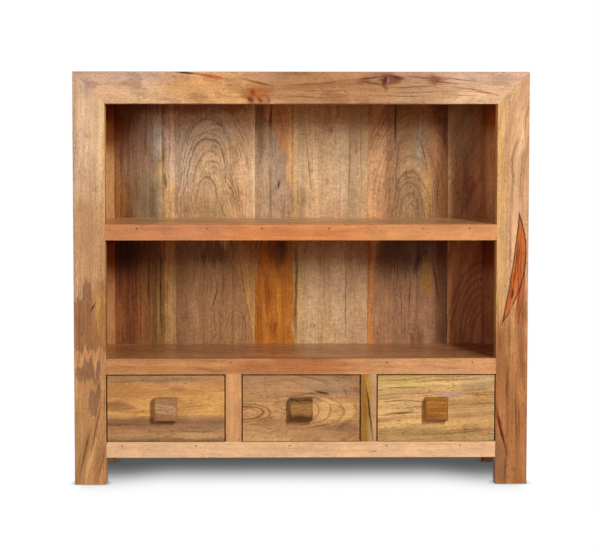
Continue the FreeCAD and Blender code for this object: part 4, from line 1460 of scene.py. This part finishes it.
    @staticmethod
    def board_5() -> Timber:
        """A peach left edge, arches in the middle and an orange-brown right side.

        Returns:
            The board's finish.
        """
        return Timber(
            "back_board_5_wood", Grain.UPRIGHT,
            ((0.161, "cc9a6c"), (0.190, "cc9c70"), (0.206, "ab7f5a"), (0.250, "b08a61"),
             (0.295, "b08a60"), (0.315, "a6774f"), (0.335, "905c32"), (0.349, "865832")),
            Rings(pith=(0.262, 0.150, 0.62), arch=0.5, depth=0.35, lines=0.35),
            marks=(
                Patch(0.262, 0.600, 0.048, 0.095, "97764f", ragged=0.01, soft=0.4),
                Patch(0.262, 0.590, 0.014, 0.040, "a3875f", ragged=0.01, soft=0.5, amount=0.7),
                Patch(0.280, 0.745, 0.013, 0.045, "b39c80", soft=0.7, amount=0.8),
                Patch(0.300, 0.640, 0.012, 0.080, "b58e56", ragged=0.02, soft=0.5),
                Patch(0.232, 0.660, 0.010, 0.030, "866549", soft=0.6, amount=0.6),
                Arch(0.262, 0.640, 0.062, 0.122, flare=0.02, width=0.0050, amount=0.20),
                Arch(0.262, 0.620, 0.052, 0.100, flare=0.02, width=0.0020, amount=0.30),
                Arch(0.262, 0.605, 0.041, 0.080, legs=0.06, flare=0.05, width=0.0034, amount=0.45),
                Arch(0.262, 0.602, 0.035, 0.070, legs=0.05, flare=0.10, width=0.0016, amount=0.30),
                Arch(0.260, 0.600, 0.029, 0.060, legs=0.05, flare=0.15, amount=0.35),
                Arch(0.262, 0.590, 0.021, 0.044, legs=0.04, flare=0.15, width=0.0024, amount=0.38),
                Arch(0.264, 0.585, 0.012, 0.024, legs=0.03, flare=0.15, width=0.0020, amount=0.30),
                Streak(0.225, 0.800, 0.070, 0.0040, colour="3c2014", amount=0.85),
                Streak(0.229, 0.700, 0.060, 0.0026, lean=0.08, amount=0.5),
                Streak(0.292, 0.725, 0.040, 0.0024, lean=-0.25, amount=0.7),
                Streak(0.342, 0.775, 0.060, 0.0040, lean=-0.04, bow=1.2, colour="3c2014", amount=0.65),
                Streak(0.338, 0.760, 0.040, 0.0026, lean=-0.10, colour="3c2014", amount=0.6),
                Streak(0.325, 0.630, 0.060, 0.0018, bow=3.0, amount=0.5),
                lower_bay(0.262, 0.110, "96694a", amount=0.9),
                Patch(0.190, 0.340, 0.022, 0.120, "a37552", soft=0.7, amount=0.7),
                lower_bay(0.165, 0.010, "b7783f", ragged=0.02, soft=0.4, amount=0.9),
                lower_bay(0.338, 0.020, "633b21", ragged=0.02, soft=0.5),
                # Dark patch at the top of the lower bay: painted shade under the shelf.
                Patch(0.256, 0.500, 0.050, 0.060, "4c321f", soft=0.8, amount=0.78),
                Streak(0.280, 0.480, 0.050, 0.0080, lean=0.15, colour="5a4c2c", amount=0.6),
                Patch(0.303, 0.435, 0.014, 0.050, "9c6c30", soft=0.6),
                Streak(0.322, 0.430, 0.060, 0.0040, lean=-0.15, colour="6a3a22", amount=0.7),
                Streak(0.262, 0.400, 0.060, 0.0024, lean=0.08, colour="5a3a22", amount=0.6),
                Streak(0.240, 0.370, 0.070, 0.0020, lean=-0.04, colour="6a4a2c", amount=0.5),
                Patch(0.212, 0.465, 0.030, 0.040, "6e4a32", soft=0.8, amount=0.6),
                Patch(0.268, 0.520, 0.020, 0.040, "8a6040", ragged=0.02, soft=0.8, amount=0.5),
                Knot(0.284, 0.292, 0.0045, "7a5230", 0.7),
                Knot(0.268, 0.289, 0.0035, "7a5230", 0.6),
            ), fibre=0.26, grit=0.40, curl=0.24, grime=0.9, seed=6.3)

    @staticmethod
    def board_6() -> Timber:
        """Dark reddish brown with faint wide rings.

        Returns:
            The board's finish.
        """
        return Timber(
            "back_board_6_wood", Grain.UPRIGHT,
            ((0.349, "c89a6d"), (0.380, "bd8a5e"), (0.405, "c38960"), (0.430, "bf8157")),
            Rings(pith=(0.500, 0.150, 0.25), arch=0.35, width=0.009, depth=0.35, lines=0.15),
            marks=(Patch(0.390, 0.800, 0.050, 0.120, "967556", soft=0.8, amount=0.7),
                   Patch(0.395, 0.640, 0.020, 0.060, "93563e", soft=0.8, amount=0.7),
                   lower_bay(0.390, 0.060, "ae6c43", soft=0.4, amount=0.8),
                   lower_bay(0.355, 0.010, "b67a4f", soft=0.6, amount=0.7),
                   *(Arch(0.432, 0.270, 0.084 - 0.0095 * ring, 0.200 - 0.019 * ring, legs=0.10,
                          width=0.0030, amount=0.34) for ring in range(7))),
            band_tint="a07454", grime=0.5, seed=8.9)

    def build(self) -> None:
        """Fit the boards and the back posts."""
        for number, finish in enumerate(self.boards(), start=1):
            fit_timber(f"back_board_{number}", finish.material(), Axis.Z, Axis.Y,
                       self.easing)
        low_left = Patch(-0.432, 0.275, 0.032, 0.275, "b57a4c", point=5.0)
        low_right = Patch(0.432, 0.275, 0.032, 0.275, "9a5c3a", point=5.0)
        left = Timber("back_left_post_wood", Grain.UPRIGHT,
                      ((-0.500, "c08a57"), (-0.465, "c4905d"), (-0.430, "c89560")),
                      Rings(pith=(-0.7, 0.1, 0.4), width=0.007, depth=0.3),
                      marks=(low_left,), grime=0.9, seed=9.4)
        right = Timber("back_right_post_wood", Grain.UPRIGHT,
                       ((0.430, "c68753"), (0.445, "d99e6b"), (0.465, "c78556"), (0.500, "c98e5a")),
                       Rings(pith=(0.7, 0.1, 0.4), width=0.007),
                       marks=(low_right,), grime=0.9, seed=10.2)
        for side, finish in (("left", left), ("right", right)):
            fit_timber(f"back_{side}_post", finish.material(), Axis.Z, Axis.Y,
                       self.post_easing)


@dataclass
class Shelving:
    """Shelf, deck and drawer floor with their thick front edges, pins and the two dividers."""

    easing: float = 0.0007

    @staticmethod
    def edges() -> dict[str, Timber]:
        """Finish the three thick front edges.

        Returns:
            The finishes by the name of the board behind the edge.
        """
        return {
            "shelf": Timber(
                "shelf_edge_wood", Grain.CROSSWISE,
                ((0.541, "d68650"), (0.552, "d2824c"), (0.565, "d4864e"), (0.576, "d88c56")),
                Rings(pith=(0.45, 0.30, 0.0), depth=0.2, lines=0.2),
                marks=(Patch(0.560, -0.340, 0.090, 0.180, "ca8458", soft=0.6, amount=0.9),
                       Patch(0.560, 0.330, 0.090, 0.200, "d8935c", soft=0.6, amount=0.9)),
                fibre=0.14, grit=0.16, specks=0.15, seed=12.1),
            "deck": Timber(
                "deck_edge_wood", Grain.CROSSWISE,
                ((0.245, "dca46c"), (0.250, "c68a54"), (0.262, "be8250"), (0.272, "c48856"),
                 (0.280, "b87c4c")),
                Rings(pith=(0.20, 0.30, 0.0), width=0.006, depth=0.35),
                marks=(Patch(0.266, 0.000, 0.030, 0.170, "b0683c", ragged=0.05, soft=0.6, amount=0.75),
                       Patch(0.262, 0.300, 0.060, 0.200, "d69a68", ragged=0.05, soft=0.6, amount=0.9)),
                fibre=0.22, grit=0.25, specks=0.3, seed=13.7),
            "bottom": Timber(
                "bottom_edge_wood", Grain.CROSSWISE,
                ((0.060, "efbf8b"), (0.072, "f1c092"), (0.095, "ecbb8d")),
                Rings(depth=0.15, lines=0.12),
                marks=(Patch(0.0735, 0.152, 0.0012, 0.010, "b27d52", soft=0.5),),
                fibre=0.14, grit=0.18, specks=0.15, seed=14.9),
        }

    @staticmethod
    def boards() -> dict[str, Timber]:
        """Finish the three boards behind the edges.

        Returns:
            The finishes by the name of the board.
        """
        return {
            "shelf": Timber(
                "shelf_board_wood", Grain.FLAT,
                ((-0.163, "e5ae78"), (-0.06, "dca976"), (0.05, "ecbc83"), (0.151, "ddab74")),
                Rings(wander=0.02), fibre=0.35, seed=15.5, gloss=0.28, shine=0.30),
            "deck": Timber(
                "deck_board_wood", Grain.FLAT,
                ((-0.163, "bc814f"), (-0.10, "c58c5a"), (0.0, "ac7649"), (0.151, "ba8556")),
                Rings(pith=(0.0, -0.1, 0.0), wander=0.02, depth=0.5, lines=0.4),
                # Dark patch at the right end of the deck: painted shade that deepens the right post's
                # shadow there.
                marks=(Patch(0.05, 0.410, 0.200, 0.060, "7c5030", soft=0.5, amount=0.8),),
                fibre=0.4, seed=16.6, gloss=0.26, shine=0.30),
            "bottom": Timber(
                "drawer_floor_wood", Grain.FLAT,
                ((-0.163, "c49468"), (0.0, "c89a6c"), (0.151, "bc8c60")),
                Rings(pith=(0.0, 0.5, 0.0), wander=0.02), seed=17.7, gloss=0.5),
        }

    @staticmethod
    def dividers() -> dict[int, Timber]:
        """Finish the two upright pieces between the drawers.

        Returns:
            The finishes by the number of the divider.
        """
        plain = Timber("divider_1_wood", Grain.UPRIGHT,
                       ((-0.167, "d69b67"), (-0.150, "dba16c"), (-0.131, "d19562")),
                       Rings(pith=(-0.4, 0.1, 0.1), depth=0.2, lines=0.15),
                       fibre=0.18, grit=0.25, specks=0.2, seed=18.2)
        streaked = Timber("divider_2_wood", Grain.UPRIGHT,
                          ((0.131, "9f6d42"), (0.140, "99692d"), (0.147, "aa772f"), (0.152, "b68d5a"),
                           (0.158, "bd9166"), (0.167, "ba8b5e")),
                          Rings(pith=(0.4, 0.1, 0.1), wander=0.004, depth=0.3),
                          marks=(Streak(0.150, 0.165, 0.090, 0.0034, lean=-0.14, colour="5b3d1d",
                                        amount=0.9),
                                 Patch(0.146, 0.210, 0.003, 0.040, "ba872f", lean=-0.14, soft=0.5)),
                          specks=0.6, seed=19.3)
        return {1: plain, 2: streaked}

    def build(self) -> None:
        """Fit the boards, the edges, the pins and the dividers."""
        for name, finish in self.edges().items():
            fit_timber(f"{name}_edge", finish.material(), Axis.X, Axis.Y, self.easing,
                       front_only=True)
        for name, finish in self.boards().items():
            dress_node(f"{name}_board", finish.material())
        for index, finish in self.dividers().items():
            fit_timber(f"divider_stile_{index}", finish.material(), Axis.Z, Axis.Y,
                       self.easing, front_only=True)
        dress_node("edge_pins", Steel("pin_steel_dull", "4a3a2c", 0.5).material())


@dataclass
class Casework:
    """Side frames, top and the hidden runs inside."""

    easing: float = 0.0014

    def build(self) -> None:
        """Fit the rails, panels and hidden pieces."""
        along_back = (Axis.X, Axis.Y, Grain.CROSSWISE)
        along_side = (Axis.Y, Axis.X, Grain.REARWARD)
        top, low = (0.84, 0.91), (0.06, 0.095)
        rails = {
            "top_back_rail": (along_back, top, "c8986a", "bd8c5e", 20.1),
            "top_left_rail": (along_side, top, "c99a6c", "c08e60", 21.2),
            "top_right_rail": (along_side, top, "c4925e", "cfa070", 22.3),
            "lower_left_rail": (along_side, low, "b07c50", "bd8a5c", 23.4),
            "lower_right_rail": (along_side, low, "b4804e", "c08c58", 24.5),
            "lower_back_rail": (along_back, low, "bd8c60", "c4946a", 25.6),
        }
        for node, ((length, thickness, grain), (under, over), first, second, seed) in rails.items():
            finish = Timber(f"{node}_wood", grain, ((under, first), (over, second)),
                            Rings(pith=(0.3, 0.2, 0.0), width=0.007, depth=0.45, lines=0.35), seed=seed)
            fit_timber(node, finish.material(), length, thickness, self.easing)
        for side, seed in (("left", 26.7), ("right", 27.8)):
            finish = Timber(f"{side}_panel_wood", Grain.UPRIGHT_SIDE,
                            ((-0.12, "c49468"), (-0.05, "ba8658"), (0.01, "cda074"), (0.08, "b07c52"),
                             (0.15, "c4946a")),
                            Rings(pith=(0.02, 0.49 if side == "left" else -0.49, 0.55), arch=0.25,
                                  width=0.009, wander=0.014, depth=0.5, lines=0.5), seed=seed)
            dress_node(f"{side}_side_panel", finish.material())
        panel = Timber("top_panel_wood", Grain.FLAT,
                       ((-0.13, "cf9f70"), (-0.05, "c08c5c"), (0.05, "d0a276"), (0.16, "bd8a5c")),
                       Rings(pith=(0.02, 0.90, 0.0), arch=0.2, width=0.009, wander=0.014, depth=0.5,
                             lines=0.5), seed=28.9, gloss=0.46, shine=0.10)
        dress_node("top_panel", panel.material())
        hidden = Timber("inner_wood", Grain.REARWARD, ((0.0, "c69c70"), (0.6, "bd9066")),
                        Rings(pith=(0.3, 0.3, 0.0)), gloss=0.6, seed=30.1).material()
        for node in ("left_guide", "right_guide", "divider_guide_1", "divider_guide_2", "drawer_kickers",
                     "drawer_stops", "shelf_cleats", "deck_cleats", "bottom_cleats"):
            dress_node(node, hidden)


@dataclass
class Drawer:
    """One drawer: its front, box, knob and screw."""

    number: int
    front: Timber
    knob: Timber
    box_seed: float
    easing: float = 0.0010

    @property
    def body(self) -> str:
        """The body that the drawer moves as."""
        return f"drawer_{self.number}"

    def build(self) -> None:
        """Finish every piece of the drawer."""
        name = self.body
        dress_node(f"{name}_front", self.front.material())
        dress_node(f"{name}_knob", self.knob.material())
        side = Timber(f"{name}_side_wood", Grain.REARWARD, ((0.09, "d0a878"), (0.23, "c79c6e")),
                      Rings(pith=(0.3, 0.0, 0.0), depth=0.35), gloss=0.5, seed=self.box_seed).material()
        for where in ("left", "right"):
            fit_timber(f"{name}_{where}_side", side, Axis.Y, Axis.X, self.easing,
                       body=name)
        back = Timber(f"{name}_back_wood", Grain.CROSSWISE, ((0.09, "cfa678"), (0.23, "c89e70")),
                      Rings(pith=(0.3, 0.0, 0.0), depth=0.35), gloss=0.5, seed=self.box_seed + 1).material()
        fit_timber(f"{name}_back", back, Axis.X, Axis.Y, self.easing, body=name)
        floor = Timber(f"{name}_bottom_wood", Grain.FLAT, ((-0.15, "d2ac7e"), (0.13, "cca474")),
                       Rings(pith=(0.0, 0.4, 0.0), depth=0.3), gloss=0.55, seed=self.box_seed + 2)
        dress_node(f"{name}_bottom", floor.material())
        dress_node(f"{name}_knob_screw", Steel(f"{name}_screw_steel", "b9b4a8", 0.32).material())


def front_woods() -> list[Timber]:
    """Finish the three drawer fronts.

    Returns:
        The finishes from left to right.
    """
    return [
        Timber("drawer_1_front_wood", Grain.CROSSWISE,
               ((0.096, "936d48"), (0.108, "b68a5c"), (0.122, "aa7a50"), (0.136, "976b4a"),
                (0.148, "a87b52"), (0.158, "ce9756"), (0.185, "d49d5a"), (0.215, "ce9354"),
                (0.232, "b88356"), (0.2425, "9d7955")),
               Rings(pith=(0.05, 0.0, -0.30), lean=0.05, width=0.006, depth=0.3, lines=0.4),
               marks=(Patch(0.208, -0.400, 0.030, 0.070, "ba804a", soft=0.6, amount=0.8),
                      Patch(0.175, -0.412, 0.012, 0.050, "9a6741", lean=-0.1, ragged=0.02),
                      Patch(0.234, -0.315, 0.008, 0.095, "96744e", soft=0.4),
                      Patch(0.214, -0.275, 0.005, 0.020, "a6704c", ragged=0.02, soft=0.6),
                      Patch(0.139, -0.360, 0.013, 0.080, "8d6441", ragged=0.04, soft=0.4),
                      Patch(0.109, -0.235, 0.008, 0.060, "c29465", ragged=0.02, soft=0.4),
                      Patch(0.128, -0.220, 0.006, 0.060, "97744f", soft=0.4)),
               seed=31.1),
        Timber("drawer_2_front_wood", Grain.CROSSWISE,
               ((0.096, "be905e"), (0.115, "b58456"), (0.135, "b38254"), (0.160, "bc8a56"),
                (0.185, "b68454"), (0.210, "af7e54"), (0.2425, "a37a54")),
               Rings(pith=(0.165, -0.15, -0.05), arch=0.10, width=0.006, depth=0.35, lines=0.4),
               marks=(Patch(0.165, 0.075, 0.030, 0.060, "d8a667", ragged=0.02, soft=0.35),
                      Patch(0.229, -0.070, 0.0030, 0.036, "a06a4a", ragged=0.01, soft=0.7, amount=0.6),
                      Patch(0.229, 0.070, 0.008, 0.060, "a28060", soft=0.5),
                      Patch(0.212, 0.060, 0.007, 0.070, "98775e", lean=-0.05, soft=0.5),
                      Streak(0.205, 0.045, 0.020, 0.0040, lean=-0.2, colour="4a3220"),
                      Arch(0.165, 0.015, 0.022, 0.024, legs=0.03, flare=0.1, width=0.0024, amount=0.5),
                      Arch(0.165, 0.020, 0.030, 0.045, legs=0.05, flare=0.1, width=0.0024, amount=0.45),
                      Arch(0.165, 0.025, 0.036, 0.070, legs=0.07, flare=0.1, width=0.0030, amount=0.4),
                      Patch(0.1608, -0.115, 0.008, 0.020, "c98e62", ragged=0.001, soft=0.15, rim=0.5),
                      Arch(0.1608, -0.112, 0.013, 0.028, legs=0.04, flare=0.1, width=0.0026, amount=0.7),
                      Arch(0.1608, -0.110, 0.018, 0.042, legs=0.04, flare=0.1, amount=0.5),
                      Patch(0.125, 0.090, 0.010, 0.050, "976e4c", soft=0.5),
                      Patch(0.140, -0.060, 0.008, 0.060, "9d6f48", lean=0.1, soft=0.5),
                      Streak(0.200, 0.000, 0.090, 0.0022, lean=0.10, amount=0.5)),
               seed=32.2),
        Timber("drawer_3_front_wood", Grain.CROSSWISE,
               ((0.096, "b58e5a"), (0.110, "c0975d"), (0.130, "d3a264"), (0.165, "d9aa6f"),
                (0.200, "d0a36b"), (0.225, "cea369"), (0.2425, "bc9260")),
               Rings(pith=(0.40, 0.0, 0.3), lean=0.05, width=0.006, depth=0.35, lines=0.5),
               marks=(Patch(0.165, 0.390, 0.060, 0.070, "ba8b57", soft=0.7, amount=0.8),
                      Patch(0.200, 0.322, 0.009, 0.034, "ae8870", ragged=0.02, soft=0.4),
                      Patch(0.228, 0.230, 0.010, 0.050, "c4a45a", soft=0.5),
                      Patch(0.224, 0.380, 0.012, 0.040, "b39468", soft=0.5),
                      Patch(0.120, 0.235, 0.012, 0.080, "ad8654", soft=0.5),
                      Streak(0.1585, 0.219, 0.045, 0.0024, lean=0.09, colour="4a3018", amount=0.9),
                      Streak(0.185, 0.260, 0.060, 0.0018, lean=-0.05, colour="5a3c20", amount=0.7),
                      Streak(0.215, 0.225, 0.050, 0.0018, lean=0.03, colour="5a3c20", amount=0.7),
                      Streak(0.200, 0.390, 0.040, 0.0018, lean=-0.10, colour="5a3c20", amount=0.6)),
               specks=0.7, seed=33.3),
    ]


def knob_woods() -> list[Timber]:
    """Finish the three knobs.

    Returns:
        The finishes from left to right.
    """
    return [
        Timber("knob_1_wood", Grain.CROSSWISE, ((0.144, "9e7049"), (0.165, "aa7d55"), (0.194, "9c7049")),
               Rings(pith=(0.10, 0.0, -0.3), lean=-0.15, width=0.004, wander=0.003, lines=0.5),
               marks=(Patch(0.1775, -0.298, 0.0008, 0.040, "c79c78", lean=-0.18, ragged=0.0, soft=0.9,
                            amount=0.7),
                      Patch(0.1700, -0.298, 0.0006, 0.040, "be9270", lean=-0.18, ragged=0.0, soft=0.9,
                            amount=0.6),
                      Patch(0.1620, -0.298, 0.0008, 0.040, "c39872", lean=-0.16, ragged=0.0, soft=0.9,
                            amount=0.6)),
               seed=34.4),
        Timber("knob_2_wood", Grain.CROSSWISE, ((0.144, "83532a"), (0.170, "885c30"), (0.194, "744e29")),
               Rings(pith=(0.10, 0.0, 0.0), width=0.004, wander=0.006, depth=0.9, lines=0.9),
               band_tint="8a6a4c", fibre=0.4, specks=0.9, seed=35.5),
        Timber("knob_3_wood", Grain.CROSSWISE, ((0.144, "a4692e"), (0.170, "a86d2a"), (0.194, "9e692a")),
               Rings(pith=(0.10, 0.0, 0.3), width=0.005, wander=0.003, depth=0.5, lines=0.6),
               fibre=0.45, grit=0.45, seed=36.6),
    ]


def drawer_row() -> list[Drawer]:
    """Return the three drawers from left to right."""
    return [Drawer(number, front, knob, 40.0 + 3.3 * number)
            for number, (front, knob) in enumerate(zip(front_woods(), knob_woods()), start=1)]


# ---------------------------------------------------------------- studio


@dataclass(frozen=True)
class Lamp:
    """A rectangular soft lamp that looks at the middle of the bookcase.

    Attributes:
        name: Its name.
        place: Where it stands.
        width: Its width.
        height: Its height.
        level: Share of a surface's own colour that it shows of one that faces it.
    """

    name: str
    place: tuple[float, float, float]
    width: float
    height: float
    level: float

    def build(self) -> None:
        """Make the lamp and aim it."""
        offset = Vector(AIM) - Vector(self.place)
        data = bpy.data.lights.new(self.name, "AREA")
        data.shape = "RECTANGLE"
        data.size = self.width
        data.size_y = self.height
        data.energy = self.level * math.pi ** 2 * offset.length_squared
        lamp = bpy.data.objects.new(self.name, data)
        lamp.location = self.place
        lamp.rotation_mode = "QUATERNION"
        lamp.rotation_quaternion = offset.to_track_quat("-Z", "Y")
        bpy.context.scene.collection.objects.link(lamp)


@dataclass
class Studio:
    """Floor, lamps, surroundings and the camera."""

    camera_place: tuple[float, float, float] = (-0.0858, -4.8107, 0.8113)
    camera_down: float = 0.0751
    camera_right: float = 0.0178
    camera_roll: float = -0.0008
    focal_pixels: float = 2120.7
    fill: float = 0.11
    fill_colour: Colour = (1.0, 0.90, 0.80, 1.0)
    floor_bounce: Colour = (0.42, 0.37, 0.32, 1.0)
    floor_size: float = 12.0
    # Painted shadow under the case: pairs of a depth on the floor and the brightness there.
    floor_shade: tuple[tuple[float, float], ...] = (
        (-0.26, 1.0), (-0.21, 0.99), (-0.16, 0.94), (-0.107, 0.82), (-0.053, 0.63), (0.0, 0.42),
        (0.057, 0.23), (0.114, 0.14), (0.172, 0.10), (0.19, 0.10))
    floor_shade_half_width: float = 0.485
    floor_shade_blur: float = 0.015
    touch_reach: float = 0.02
    touch_level: Colour = (0.55, 0.55, 0.55, 1.0)
    lamps: tuple[Lamp, ...] = (
        Lamp("key_lamp", (1.45, -3.90, 1.95), 0.45, 1.30, 0.72),
        Lamp("left_fill_lamp", (-3.0, -3.4, 1.1), 1.8, 1.2, 0.17),
        Lamp("left_rear_lamp", (-3.0, 2.6, 2.2), 2.0, 2.0, 0.45),
        Lamp("right_rear_lamp", (2.6, 3.2, 1.8), 2.0, 2.0, 0.40),
    )

    def build(self) -> None:
        """Make the floor, the surroundings, the lamps and the camera."""
        self.make_floor()
        self.make_surroundings()
        for lamp in self.lamps:
            lamp.build()
        self.make_camera()

    @staticmethod
    def seen(wiring: Wiring) -> Number:
        """Give 1 for rays that show the surroundings: camera, glossy and transmission rays.

        Args:
            wiring: Writer of the material's tree.

        Returns:
            The number.
        """
        path = wiring.add("ShaderNodeLightPath")
        either = wiring.number(path, "Is Camera Ray").at_least(wiring.number(path, "Is Glossy Ray"))
        return either.at_least(wiring.number(path, "Is Transmission Ray"))

    def make_floor(self) -> None:
        """A white floor with a painted soft shadow under the bookcase, like the one that a broad front
        light leaves.
        """
        bpy.ops.object.select_all(action="DESELECT")
        bpy.ops.mesh.primitive_plane_add(size=self.floor_size, location=(0, 0, 0))
        floor = bpy.context.object
        floor.name = "studio_floor"
        material = bpy.data.materials.new("studio_floor_white")
        material.use_nodes = True
        wiring = Wiring(material.node_tree)
        material.node_tree.nodes.clear()
        output = wiring.add("ShaderNodeOutputMaterial")
        matt = wiring.add("ShaderNodeBsdfDiffuse")
        matt.inputs["Color"].default_value = self.floor_bounce
        shade = self.soft_shade(wiring)
        glow = wiring.add("ShaderNodeEmission")
        wiring.feed(glow.inputs["Color"], shade)
        mixer = wiring.add("ShaderNodeMixShader")
        wiring.feed(mixer.inputs["Fac"], self.seen(wiring))
        wiring.feed(mixer.inputs[1], matt.outputs["BSDF"])
        wiring.feed(mixer.inputs[2], glow.outputs["Emission"])
        wiring.feed(output.inputs["Surface"], mixer.outputs["Shader"])
        floor.data.materials.append(material)

    def soft_shade(self, wiring: Wiring) -> Socket:
        """Give the floor the broad painted shadow of the case and the narrow ones where things touch it.

        Args:
            wiring: Writer of the floor's material.

        Returns:
            How bright the floor shows, from 0 to 1, as a colour.
        """
        place = wiring.add("ShaderNodeTexCoord").outputs["Object"]
        across, depth, _ = wiring.split(place)
        beside = abs(across)
        shifted = depth + beside.smooth(0.28, 0.43, 0.006, 0.062)
        low, high = self.floor_shade[0][0], self.floor_shade[-1][0]
        stops = [((where - low) / (high - low), (level, level, level * 1.01, 1.0))
                 for where, level in self.floor_shade]
        under = wiring.ramp(shifted.linear(low, high), stops)
        end, blur = self.floor_shade_half_width, self.floor_shade_blur
        outside = depth.smooth(0.205, 0.30).at_least(beside.smooth(end - blur, end + blur))
        under = wiring.mix(outside, under, WHITE)
        touch = wiring.add("ShaderNodeAmbientOcclusion", samples=8)
        touch.inputs["Distance"].default_value = self.touch_reach
        near = wiring.ramp(touch.outputs["AO"], [(0.50, self.touch_level), (0.90, WHITE)])
        return wiring.mix(1.0, under, near, "MULTIPLY")

    def make_surroundings(self) -> None:
        """White surroundings, which give only a soft fill light."""
        world = bpy.data.worlds.new("studio")
        bpy.context.scene.world = world
        world.use_nodes = True
        wiring = Wiring(world.node_tree)
        background = world.node_tree.nodes["Background"]
        seen = self.seen(wiring)
        wiring.feed(background.inputs["Color"], wiring.mix(seen, self.fill_colour, WHITE))
        wiring.feed(background.inputs["Strength"], seen.linear(0.0, 1.0, self.fill, 1.0))

    def make_camera(self) -> None:
        """Stand the camera in front, a little to the left and looking slightly down."""
        data = bpy.data.cameras.new("studio_camera")
        data.sensor_width = SENSOR_WIDTH
        data.lens = self.focal_pixels * SENSOR_WIDTH / IMAGE_WIDTH
        camera = bpy.data.objects.new("studio_camera", data)
        camera.location = self.camera_place
        camera.rotation_euler = (math.pi / 2 - self.camera_down, self.camera_roll, -self.camera_right)
        bpy.context.scene.collection.objects.link(camera)
        bpy.context.scene.camera = camera


def main() -> None:
    """Build the studio and every sub-assembly in order."""
    bpy.context.scene.view_settings.view_transform = "Standard"
    Studio().build()
    for assembly in (FrontFrame(), BackWall(), Shelving(), Casework(), *drawer_row()):
        assembly.build()
        log.info("%s is built", type(assembly).__name__)


if __name__ == "__main__":
    main()
